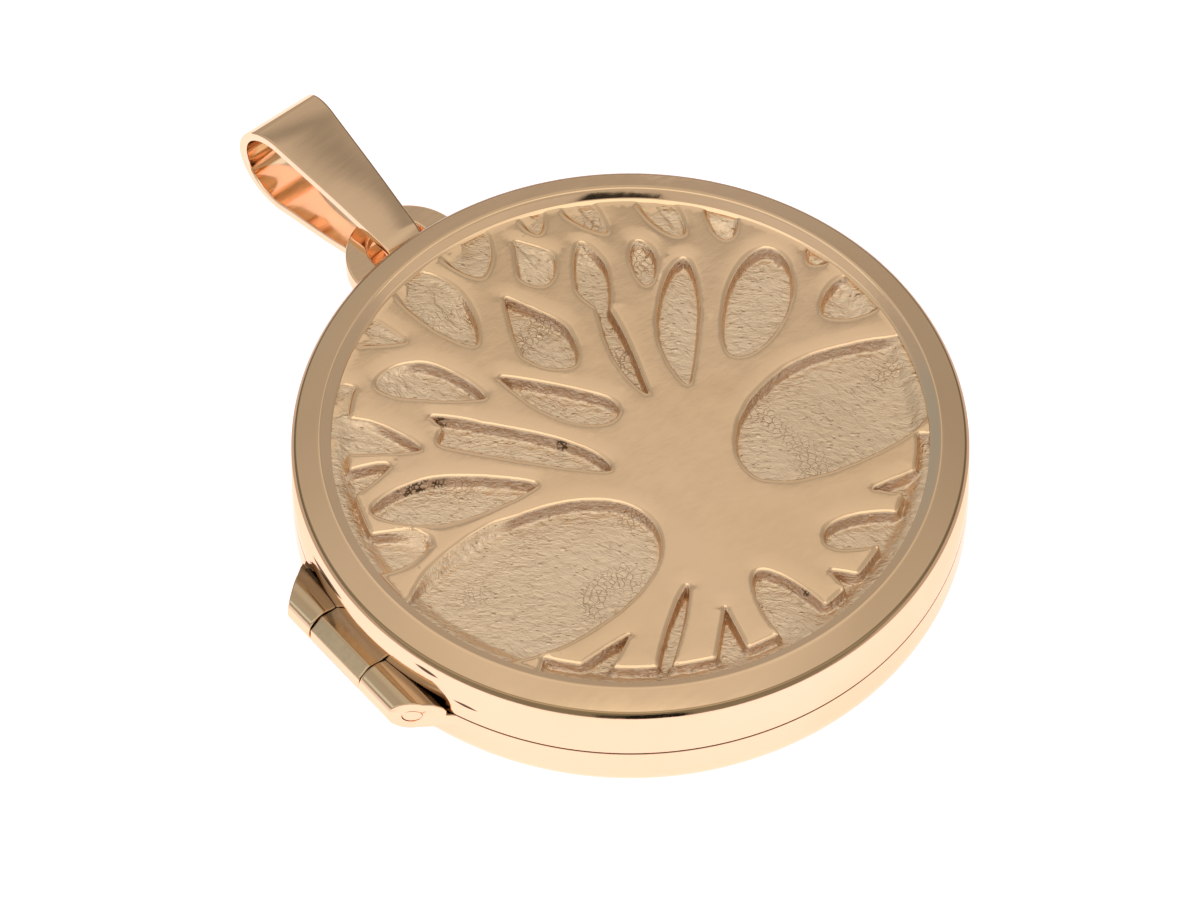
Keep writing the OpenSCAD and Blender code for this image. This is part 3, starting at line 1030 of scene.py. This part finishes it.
def relief_nodes(n, given):
    """Raises the tree from its ground, from each point's distance to the nearest gap edge."""
    in_mm = n.get("GeometryNodeInputPosition", "Position") * (1000.0, 1000.0, 0.0)
    distance, upper, soft = (
        n.get("GeometryNodeInputNamedAttribute", "Attribute", {"Name": name}, data_type="FLOAT")
        for name in ("edge_distance", "upper_side", "soft_side")
    )

    def noise(scale, detail, seed_step=0.0):
        return n.get("ShaderNodeTexNoise", "Fac", {
            "Vector": in_mm, "W": given["Seed"] + seed_step, "Scale": scale, "Detail": detail,
        }, noise_dimensions="4D") - 0.5

    distance = distance + noise(1.1, 2.0) * given["Edge waver"]
    into_gap = distance * -1.0

    near_edge = n.math("SUBTRACT", 1.0, distance / given["Shoulder width"], clamp=True)
    away = n.math("LENGTH", in_mm - given["Rounder at"])
    rounder = 1.0 + n.ramp(away, given["Rounder reach"] * 0.5, given["Rounder reach"],
                           given["Rounder by"], 0.0)
    bevel = n.math("SUBTRACT", 1.0, distance / (given["Bevel width"] * rounder), clamp=True)
    shoulder_drop = n.ramp(soft, -0.1, 0.9, given["Crisp shoulder"], given["Soft shoulder"])
    bevel_drop = n.ramp(soft, -0.3, 0.5, given["Bevel drop"] * 0.4,
                        given["Bevel drop"] * rounder ** 1.75)
    shoulder = near_edge ** 2.0 * shoulder_drop + bevel ** 1.3 * bevel_drop

    ragged = 1.0 + noise(3.4, 2.0, 8.0) * 0.9
    wall_width = n.ramp(soft, 0.1, 0.8, given["Wall width"] * 0.4, given["Wall width"]) * ragged
    down = n.ramp(into_gap, 0.0, wall_width, smooth=False)
    ground_drop = given["Relief height"] - (shoulder_drop + bevel_drop)
    from_middle = n.math("LENGTH", in_mm)
    by_rim = n.ramp(from_middle, given["Shallow from"], 10.9) * n.ramp(n.parts(in_mm)[1], 5.0, 9.0)
    shallow = 1.0 - by_rim * given["Shallow share"]
    rim_rise = n.ramp(from_middle, PANEL_R - 0.8, PANEL_R - 0.05, 1.0, 0.3)
    wall = down * ground_drop * (shallow * rim_rise)

    # Painted shade: a wall is painted darker than the ground where it is deep and faces
    # forwards, but not under the rounder shoulder
    reached = n.ramp(into_gap, -0.02, 0.02) * n.ramp(down, 1.0, 0.8)
    facing = n.ramp(soft, 0.0, 0.6, 0.4, 1.0)
    deep = n.ramp(shallow, 0.4, 0.85) * facing * n.ramp(rounder, 1.1, 1.9, 1.0, 0.15)

    hammer = noise(0.45, 1.0, 3.0) * given["Hammer depth"]
    on_tree = n.ramp(distance, 0.0, 0.5)
    domes = 0.5 - n.get("ShaderNodeTexVoronoi", "Distance", {
        "Vector": in_mm * given["Pebble stretch"], "W": given["Seed"],
        "Scale": given["Pebbles per mm"], "Smoothness": 0.6,
    }, voronoi_dimensions="4D", feature="SMOOTH_F1")
    uneven = noise(1.6, 2.0, 5.0) * 1.2
    on_ground = n.ramp(into_gap, given["Wall width"] * 0.6, given["Wall width"] * 1.4)
    crumbs = n.ramp(into_gap, 0.3, 1.1, 2.2, 1.0)
    pebble = (domes + uneven) * given["Pebble height"] * crumbs * on_ground

    solder = n.ramp(from_middle, PANEL_SEAT_R - 0.11, PANEL_SEAT_R, 0.0, 0.02, smooth=False)
    rise = (pebble + hammer * on_tree) - (shoulder + wall) + solder
    shaped = n.get("GeometryNodeSetPosition", "Geometry", {
        "Geometry": given["Geometry"], "Offset": n.vector(0.0, 0.0, rise * MM * upper),
    })
    # Stores where the painted shade goes on the walls
    return n.get("GeometryNodeStoreNamedAttribute", "Geometry", {
        "Geometry": shaped, "Name": "on_wall", "Value": reached * deep,
    }, data_type="FLOAT", domain="POINT")


def make_tree(metal):
    """The panel with the raised tree: a fine net of points, raised by a node tree."""
    edges = GapEdges()
    rim, points = panel_points(edges)
    distance, soft = edges.distance(points)
    made = geometry.delaunay_2d_cdt([Vector(p) for p in points], [], [], 0, 1e-6, True)
    flat = np.array([v[:] for v in made[0]])
    source = np.array([ids[0] for ids in made[3]])
    faces = [tuple(f) for f in made[2]]
    a, b, c = (flat[[f[k] for f in faces]] for k in range(3))
    area = (b[:, 0] - a[:, 0]) * (c[:, 1] - a[:, 1]) - (b[:, 1] - a[:, 1]) * (c[:, 0] - a[:, 0])
    faces = [f if up > 0 else f[::-1] for f, up in zip(faces, area) if abs(up) > 1e-9]
    count, around = len(flat), len(rim)
    place = {int(s): k for k, s in enumerate(source)}
    ring = [place[i] for i in range(around)]
    low = list(range(count, count + around))
    middle = count + around
    for i in range(around):
        j = (i + 1) % around
        faces.append((ring[j], ring[i], low[i], low[j]))
        faces.append((low[j], low[i], middle))
    vertices = np.concatenate([
        np.column_stack([flat, np.full(count, TREE_TOP)]),
        np.column_stack([rim, np.full(around, PANEL_BOTTOM)]),
        [[0.0, 0.0, PANEL_BOTTOM]],
    ])
    mesh = new_mesh("tree_relief", vertices, faces=faces)
    below = np.ones(around + 1)
    stored_on_top = {
        "edge_distance": [distance[source], below],
        "soft_side": [soft[source], below],
        "upper_side": [np.ones(count), 0 * below],
    }
    for name, values in stored_on_top.items():
        store(mesh, name, np.concatenate(values))
    obj = in_scene("tree_relief", mesh)
    run_geometry(obj, "Tree relief", relief_nodes, {
        "Relief height": TREE_TOP - GROUND_TOP, "Shoulder width": 0.75,
        "Crisp shoulder": 0.008, "Soft shoulder": 0.05,
        "Bevel width": 0.16, "Bevel drop": 0.08,
        "Wall width": 0.27, "Edge waver": 0.07,
        "Hammer depth": 0.02, "Shallow from": 9.0, "Shallow share": 0.78,
        "Rounder at": (-9.0, 0.2, 0.0), "Rounder reach": 3.2, "Rounder by": 1.0,
        "Pebble height": 0.03, "Pebbles per mm": 3.2,
        "Pebble stretch": (0.8, 1.0, 1.0), "Seed": 7.0, "Metal": metal,
    })
    for name in stored_on_top:
        obj.data.attributes.remove(obj.data.attributes[name])
    shade_smooth(obj.data, TREE_SHARP)
    return obj


def handling_marks():
    """Fine streaks and hairlines left by polishing: a roughness and a height."""
    n, given, result = new_tree("Polishing marks", "Shader", [
        ("Position", "Vector"), ("Mark length", "Float", 0.12),
        ("Marks per metre", "Float", 4000.0),
        ("Roughness low", "Float", 0.08), ("Roughness high", "Float", 0.2),
    ], [("Roughness", "Float"), ("Height", "Float")])
    along = given["Position"] * n.vector(given["Mark length"], 1.0, 1.0)
    streaks = n.noise(along, given["Marks per metre"], 4.0, Roughness=0.65)
    clouds = n.noise(given["Position"], 350.0, 3.0)
    rough = n.ramp(streaks * clouds, 0.12, 0.42, given["Roughness low"], given["Roughness high"])
    n.put(rough, result["Roughness"])
    n.put(streaks, result["Height"])
    return n.tree


def grain():
    """Grain of the cast ground: fine wrinkles that run one way, pores, raised flecks, and
    patches of cracked cells. It also gives painted shade for the pores, crack lines and wrinkle
    folds."""
    n, given, result = new_tree("Wrinkled grain", "Shader", [
        ("Position", "Vector"), ("Wrinkles per metre", "Float", 5200.0),
        ("Pores per metre", "Float", 3900.0), ("Cells per metre", "Float", 3500.0),
    ], [("Height", "Float"), ("Cracks", "Float"), ("Torn", "Float")])
    place = given["Position"]

    def turned_by(degrees):
        return n.get("ShaderNodeVectorRotate", "Vector", {
            "Vector": place, "Angle": math.radians(degrees),
        }, rotation_type="Z_AXIS")

    def wrinkled(vector):
        return n.noise(vector, given["Wrinkles per metre"], 3.0, Roughness=0.6, Distortion=0.6)

    def spots(stretch, scale, size, channel, chosen):
        """Spots of this size, in cells that a part of their random colour picks."""
        distance, colour = n.outputs(("Distance", "Color"), "ShaderNodeTexVoronoi", {
            "Vector": turned_on * (stretch, 1.0, 1.0), "Scale": scale,
        }, feature="F1")
        picked = n.get("ShaderNodeSeparateColor", channel, {"Color": colour})
        return n.ramp(distance, *size, 1.0, 0.0) * n.ramp(picked, *chosen)

    def lines(scale, narrow, wide):
        """Lines between cells of uneven shape."""
        distance = n.get("ShaderNodeTexVoronoi", "Distance", {
            "Vector": shifted, "Scale": scale,
        }, feature="DISTANCE_TO_EDGE")
        return n.ramp(distance, narrow, wide, 1.0, 0.0)

    turned_on = turned_by(38)
    ways = n.noise(place + (0.05, 0.02, 0.0), 260.0, 1.0)
    wrinkles = n.between(n.ramp(ways, 0.48, 0.62), wrinkled(turned_on * (0.45, 1.0, 1.0)),
                         wrinkled(turned_by(68) * (0.4, 0.8, 1.0)))
    pore = spots(0.7, given["Pores per metre"], (0.10, 0.24), "Red", (0.35, 0.6))
    wander = n.noise(place, 1800.0, 2.0, output="Color")
    shifted = place + wander * (0.00028, 0.00028, 0.00028)
    patches = n.ramp(n.noise(place, 330.0, 1.0), 0.53, 0.70)
    crack = lines(given["Cells per metre"], 0.0, 0.10) * patches
    fold = n.ramp(wrinkles, 0.44, 0.32)
    torn = (lines(given["Cells per metre"] * 1.45, 0.05, 0.22)
            * n.ramp(n.noise(place, 2600.0, 1.0), 0.36, 0.48))
    fleck = spots(0.6, given["Pores per metre"] * 0.7, (0.04, 0.26), "Green", (0.62, 0.8))
    n.put(wrinkles - (pore + crack) * 0.25 + fleck * 0.35, result["Height"])
    # Painted shade in the pores, crack lines and wrinkle folds
    n.put(n.largest(pore, crack * 0.4, fold * 0.8), result["Cracks"])
    n.put(torn, result["Torn"])
    return n.tree


def tone_mix(n, place, base, dark):
    """The alloy's colour, a little darker in its cloudy places."""
    return n.mix(n.ramp(n.noise(place, 120.0, 3.0), 0.35, 0.65), base, dark)


def marked(n, marks, place, length, count, low, high):
    """Places the polishing marks with their own values: their roughness and height."""
    return n.outputs(("Roughness", "Height"), "ShaderNodeGroup", {
        "Position": place, "Mark length": length, "Marks per metre": count,
        "Roughness low": low, "Roughness high": high,
    }, node_tree=marks)


def new_metal(name):
    """A metal, as the material, its node tree and the place on the piece."""
    material = bpy.data.materials.new(name)
    material.use_nodes = True
    n = NodeTree(material.node_tree)
    return material, n, n.get("ShaderNodeTexCoord", "Object")


def finish_metal(n, colour, rough, height, depth):
    """Puts a metal's colour, roughness and fine relief on its shader."""
    shader = n.tree.nodes["Principled BSDF"].inputs
    bump = n.get("ShaderNodeBump", "Normal", {
        "Height": height, "Distance": depth * MM, "Strength": 1.0,
    })
    for title, value in (
        ("Base Color", colour), ("Metallic", 1.0), ("Roughness", rough), ("Normal", bump),
        ("Specular Tint", (*GRAZING_TINT, 1.0)),
    ):
        n.put(value, shader[title])


# Rules that say how strongly a tone shows at a place on a piece


def from_axis(n, x, y):
    """Distance from the locket's axis."""
    return n.math("SQRT", x * x + y * y)


def over_angles(n, turn, low, high):
    """0 to 1 while an angle goes from one to another, in degrees."""
    return n.ramp(turn, math.radians(low), math.radians(high))


def inside_the_ends(n, x, y):
    """The hinge without its two slanted ends."""
    end = HINGE_HALF * MM + FLARE * (x - HINGE_X * MM)
    return n.ramp(end - n.math("ABSOLUTE", y), 0.01 * MM, 0.05 * MM)


def hinge_top(n, x, y, z):
    """The top of the hinge, down to the ridge on its outer side, given a duller, darker gold."""
    turn = n.math("ARCTAN2", z - SEAM_Z * MM, x - HINGE_X * MM)
    top = over_angles(n, turn, 158, 153) * over_angles(n, turn, -4, 4)
    return top * inside_the_ends(n, x, y)


def hinge_shade_by_wall(start, end, most):
    """A rule for the side of the hinge next to the wall, from start to end beyond its axis.
    Painted shade darkens it there, where the gold of the wall would turn it orange."""
    def rule(n, x, y, z):
        beside = n.ramp(x, (HINGE_X + start) * MM, (HINGE_X + end) * MM, 0.0, most)
        return beside * inside_the_ends(n, x, y)
    return rule


def ribbon_edge_reflection(n, x, y, z):
    """The rounding along the ribbon's edge on the +X side, painted darker as a painted dark
    reflection.
    """
    half = n.ramp(y, BAIL_ROOT_Y * MM, BAIL_TIP_Y * MM, BAIL_ROOT_W / 2 * MM,
                  BAIL_TIP_W / 2 * MM, smooth=False)
    inwards = half - x
    return n.ramp(inwards, 0.10 * MM, 0.07 * MM) * n.ramp(inwards, 0.004 * MM, 0.02 * MM)


def outer_edge_reflection(n, x, y, z):
    """The rounded outer edge on top of the cover, painted darker as a painted dark reflection."""
    turn = n.math("ARCTAN2", z - EDGE_AT[1] * MM, from_axis(n, x, y) - EDGE_AT[0] * MM)
    return over_angles(n, turn, 8, 20) * over_angles(n, turn, 76, 66)


def seam_line(n, x, y, z):
    """The dark line of the seam round the side wall."""
    radius = from_axis(n, x, y)
    low = n.ramp(n.math("ABSOLUTE", z - SEAM_Z * MM), 0.07 * MM, 0.045 * MM)
    return low * (n.ramp(radius, (OUTER_R - 0.3) * MM, (OUTER_R - 0.2) * MM)
                  * n.ramp(radius, (OUTER_R - 0.002) * MM, (OUTER_R - 0.03) * MM))


def seam_and_recess_shade(n, x, y, z):
    """The seam's dark line, and painted shade on the flat behind the hinge in the cover's wall."""
    low = n.ramp(z, (RECESS_TOP + 0.01) * MM, (RECESS_TOP - 0.1) * MM)
    flat = low * n.ramp(x, -13.05 * MM, -13.15 * MM)
    flat = flat * n.ramp(n.math("ABSOLUTE", y), 4.6 * MM, 4.5 * MM)
    return n.largest(seam_line(n, x, y, z), flat * 0.75)


def reflected_streaks(n, x, y, z):
    """Painted dark reflections: thin dark streaks along the side wall behind the hinge."""
    along = n.math("ARCTAN2", y * -1.0, x * -1.0) * OUTER_R
    height = z / MM
    marks = []
    for angle, middle, half_length, half_width, rise in DARK_REFLECTED_STREAKS:
        run = along - math.radians(angle) * OUTER_R
        share = run / half_length
        width = 1.0 - share * share
        off = n.math("ABSOLUTE", height - (run * rise + middle))
        marks.append(n.ramp(width * half_width - off, -0.01, 0.02))
    on_wall = n.ramp(from_axis(n, x, y), (OUTER_R - 0.1) * MM, (OUTER_R - 0.05) * MM)
    return n.largest(*marks) * on_wall


def stored(name):
    """A rule that reads a value stored on the piece."""
    return lambda n, *place: n.get(
        "ShaderNodeAttribute", "Fac", attribute_type="GEOMETRY", attribute_name=name)


def make_polished_gold(marks, name, tones):
    """Polished gold, with other tones of it where their rules say."""
    material, n, place = new_metal(name)
    rough, height = marked(n, marks, place, length=0.15, count=3500.0, low=0.06, high=0.17)
    metal = tone_mix(n, place, GOLD, GOLD_DEEP)
    axes = n.parts(place)
    for tone, rule in tones:
        metal = n.mix(rule(n, *axes), metal, tone)
    finish_metal(n, metal, rough, height, depth=0.0015)
    return material


def make_cast_gold(marks, grained):
    """Cast gold of the tree: its top is polished, its walls and its ground are left matt."""
    material, n, place = new_metal("cast_gold")
    matt = n.ramp(n.parts(place)[2], (TREE_TOP - 0.10) * MM, (TREE_TOP - 0.16) * MM)
    on_wall = stored("on_wall")(n) * matt
    rough, height = marked(n, marks, place, length=0.5, count=3000.0, low=0.10, high=0.20)
    relief, crease_shade, torn = n.outputs(("Height", "Cracks", "Torn"), "ShaderNodeGroup", {
        "Position": place,
    }, node_tree=grained)
    # Painted shade: the deep walls that face forwards are painted the darker wall tone
    ground = n.mix(on_wall, tone_mix(n, place, GOLD_MATT, GOLD_MATT_DEEP), GOLD_WALL_SHADE)
    metal = n.mix(matt, tone_mix(n, place, GOLD, GOLD_DEEP), ground)
    # Painted shade: the pores, crack lines and wrinkle folds of the ground are painted darker
    metal = n.mix(crease_shade * matt * 0.35, metal, GOLD_SHADE)
    flat_place = place * (1.0, 1.0, 0.0)
    cavity = n.largest(*(
        n.ramp(n.math("LENGTH", flat_place - (x * MM, y * MM, 0.0)), radius * MM,
               radius * 0.7 * MM)
        for x, y, radius in TORN_AT
    ))
    metal = n.mix(torn * cavity * on_wall, metal, GOLD_CRACK_AND_REFLECTION)
    finish_metal(n, metal, rough * (1.0 - matt) + matt * MATT_ROUGHNESS,
                 height * 0.04 + relief * matt, depth=0.09)
    return material


FLOOR_HALF = 3000.0
# The tent over the locket: how far along it, towards the back, each brightness is reached,
# in millimetres, over the middle and at the sides
TENT_HEIGHT = 150.0
TENT_HALF = 600.0
TENT_LIGHT = [
    (-600, 0.60), (-300, 0.62), (-170, 0.72), (-130, 1.10), (-110, 1.35), (-60, 1.35),
    (-50, 0.95), (-43, 0.74), (-25, 0.74), (0, 0.80), (60, 0.79), (100, 0.735), (112, 0.70),
    (118, 0.57), (124, 0.44), (134, 0.385), (142, 0.46), (160, 0.62), (600, 0.62),
]
TENT_SIDE_LIGHT = [
    (-600, 0.60), (-300, 0.62), (-170, 0.70), (-130, 1.00), (-110, 1.20), (-60, 1.20),
    (-50, 0.85), (-43, 0.68), (0, 0.64), (60, 0.58), (110, 0.52), (170, 0.48), (600, 0.50),
]
TENT_TINT = (1.0, 0.965, 0.88)
SHADE_TINT = (0.86, 0.97, 1.06)


def make_sheet(name, half, z, face, material):
    """A level square sheet of the studio, whose face looks up or down."""
    corners = np.array([(-half, -half, z), (half, -half, z), (half, half, z), (-half, half, z)])
    mesh = new_mesh(name, corners, faces=[face])
    mesh.materials.append(material)
    return in_scene(name, mesh)


def make_floor():
    """A plain white table that glows a little, like a light table."""
    material = bpy.data.materials.new("white_table")
    material.use_nodes = True
    shader = material.node_tree.nodes["Principled BSDF"].inputs
    shader["Base Color"].default_value = (0.9, 0.9, 0.9, 1.0)
    shader["Roughness"].default_value = 0.9
    shader["Specular IOR Level"].default_value = 0.2
    shader["Emission Color"].default_value = (0.74, 0.67, 0.84, 1.0)
    shader["Emission Strength"].default_value = 1.0
    obj = make_sheet("floor", FLOOR_HALF, 0.0, (0, 1, 2, 3), material)


def make_tent(front):
    """A white tent lit unevenly: bright over the locket and in front, grey behind it."""
    half = TENT_HALF * MM
    material = bpy.data.materials.new("lit_cloth")
    material.use_nodes = True
    n = NodeTree(material.node_tree)
    n.tree.nodes.remove(n.tree.nodes["Principled BSDF"])
    place = n.get("ShaderNodeTexCoord", "Object")
    far = Vector((-front.x, -front.y, 0)).normalized()
    along = n.math("DOT_PRODUCT", place, tuple(far))
    across = n.math("DOT_PRODUCT", place, (-far.y, far.x, 0.0))
    share = n.ramp(along, -half, half, smooth=False)
    bands = []
    for stops in (TENT_LIGHT, TENT_SIDE_LIGHT):
        ramp = n.add("ShaderNodeValToRGB", {"Fac": share})
        band = ramp.color_ramp
        while len(band.elements) < len(stops):
            band.elements.new(0.5)
        for element, (at, light) in zip(band.elements, stops):
            element.position = (at + TENT_HALF) / (2 * TENT_HALF)
            element.color = (*(light * t for t in TENT_TINT), 1.0)
        bands.append(Value(n, ramp.outputs["Color"]))
    cloth = n.mix(n.ramp(n.math("ABSOLUTE", across), 0.045, 0.11), *bands)
    cool = n.mix(n.ramp(across, 0.17, 0.30) * 0.8, cloth, SHADE_TINT, blend_type="MULTIPLY")
    glow = n.get("ShaderNodeEmission", "Emission", {
        "Color": cool, "Strength": n.ramp(across, -0.03, -0.10, 1.0, 0.88),
    })
    n.put(glow, n.tree.nodes["Material Output"].inputs["Surface"])
    obj = make_sheet("light_tent", TENT_HALF, TENT_HEIGHT, (3, 2, 1, 0), material)
    obj.visible_camera = False


def make_world(front):
    """What shows beyond the tent: grey all round, darker behind the camera. The camera
    itself sees plain white."""
    world = bpy.data.worlds.new("studio")
    bpy.context.scene.world = world
    world.use_nodes = True
    n = NodeTree(world.node_tree)
    shade = n.tree.nodes["Background"].inputs
    way = n.get("ShaderNodeTexCoord", "Generated")
    level = Vector((front.x, front.y, 0)).normalized()
    toward = n.math("DOT_PRODUCT", way, tuple(level))
    to_left = n.math("DOT_PRODUCT", way, (level.y, -level.x, 0.0))
    rise = n.parts(way)[2]
    low = n.ramp(rise, 0.12, 0.26, 0.60, 0.66)
    door = n.ramp(toward, 0.950, 0.962) * n.ramp(rise, 0.30, 0.24) * n.ramp(to_left, 0.17, 0.15)
    sides = n.ramp(toward, -0.1, 0.35, 0.46, 0.66)
    grey = n.between(n.ramp(toward, 0.74, 0.90), sides, n.between(door, low, 0.03))
    seen = n.get("ShaderNodeLightPath", "Is Camera Ray")
    n.put(n.between(seen, grey, 1.0), shade["Strength"])
    cool = n.ramp(to_left, 0.4, 0.8) * n.ramp(toward, -0.15, -0.45)
    n.put(n.mix(cool * (1.0 - seen), (1.0, 0.97, 0.92), SHADE_TINT), shade["Color"])


def make_camera():
    """The photo's camera. Returns the direction from the locket to it."""
    a, e = math.radians(VIEW_AZIMUTH), math.radians(VIEW_ELEVATION)
    back = Vector((math.sin(a) * math.cos(e), -math.cos(a) * math.cos(e), math.sin(e)))
    right = Vector((math.cos(a), math.sin(a), 0.0))
    up = back.cross(right)
    aim = (
        Vector((0.0, 0.0, EDGE_Z))
        + right * ((PHOTO_W / 2 - CENTRE_PX[0]) / PIXELS_PER_MM)
        + up * ((CENTRE_PX[1] - PHOTO_H / 2) / PIXELS_PER_MM)
    )
    data = bpy.data.cameras.new("camera")
    data.sensor_fit = "HORIZONTAL"
    data.sensor_width = SENSOR_MM
    data.lens = SENSOR_MM * CAMERA_DISTANCE * PIXELS_PER_MM / PHOTO_W
    data.clip_start, data.clip_end = 0.01, 100.0
    camera = in_scene("camera", data)
    camera.location = (aim + back * CAMERA_DISTANCE) * MM
    camera.rotation_euler = back.to_track_quat("Z", "Y").to_euler()
    bpy.context.scene.camera = camera
    return back


front = make_camera()
make_world(front)
make_tent(front)
make_floor()
bpy.context.scene.view_settings.view_transform = "Standard"

marks = handling_marks()
polished = make_polished_gold(marks, "polished_gold", [(GOLD_SEAM_AND_SHADE, seam_line)])
# On the cover: a painted dark reflection on its outer edge, the seam's dark line, painted shade in
# the recess and painted dark reflected streaks
cover_gold = make_polished_gold(marks, "cover_gold", [
    (GOLD_DARK_REFLECTION, outer_edge_reflection), (GOLD_SEAM_AND_SHADE, seam_and_recess_shade), (GOLD_CRACK_AND_REFLECTION, reflected_streaks),
])
# On the hinge: a duller gold on its top, and painted shade on its side next to the wall
hinge_gold = make_polished_gold(marks, "hinge_gold", [
    (GOLD_DULL, hinge_top), (GOLD_BESIDE_SHADE, hinge_shade_by_wall(0.05, 0.35, 0.9)),
    (GOLD_SEAM_AND_SHADE, hinge_shade_by_wall(0.40, 1.10, 0.75)),
])
# On the bail: painted shade on its upper face, a painted glow on its inner side, and a painted
# dark reflection on its edge
bail_gold = make_polished_gold(marks, "bail_gold", [
    (GOLD_UPPER_SHADE, stored("upper_face")), (GOLD_INSIDE_GLOW, stored("inner_side")),
    (GOLD_DARK_REFLECTION, ribbon_edge_reflection),
])
cast = make_cast_gold(marks, grain())

case_shell = make_case_shell()
tab = make_tab()
outer_knuckles = make_outer_knuckles()
for piece in (case_shell, tab):
    finish_piece(piece, "case", polished, "polished_gold", "back_case")
for piece in outer_knuckles:
    finish_piece(piece, "case", hinge_gold, "polished_gold", "back_case")
finish_piece(make_pin(), "case", polished, "polished_gold", "hinge_pin")
finish_piece(make_cover_shell(), "cover", cover_gold, "polished_gold", "front_cover")
finish_piece(make_middle_knuckle(), "cover", hinge_gold, "polished_gold", "front_cover")
finish_piece(make_tree(cast), "cover", cast, "cast_gold", "tree_panel")
finish_piece(make_bail(bail_gold), "bail", bail_gold, "polished_gold", "bail")
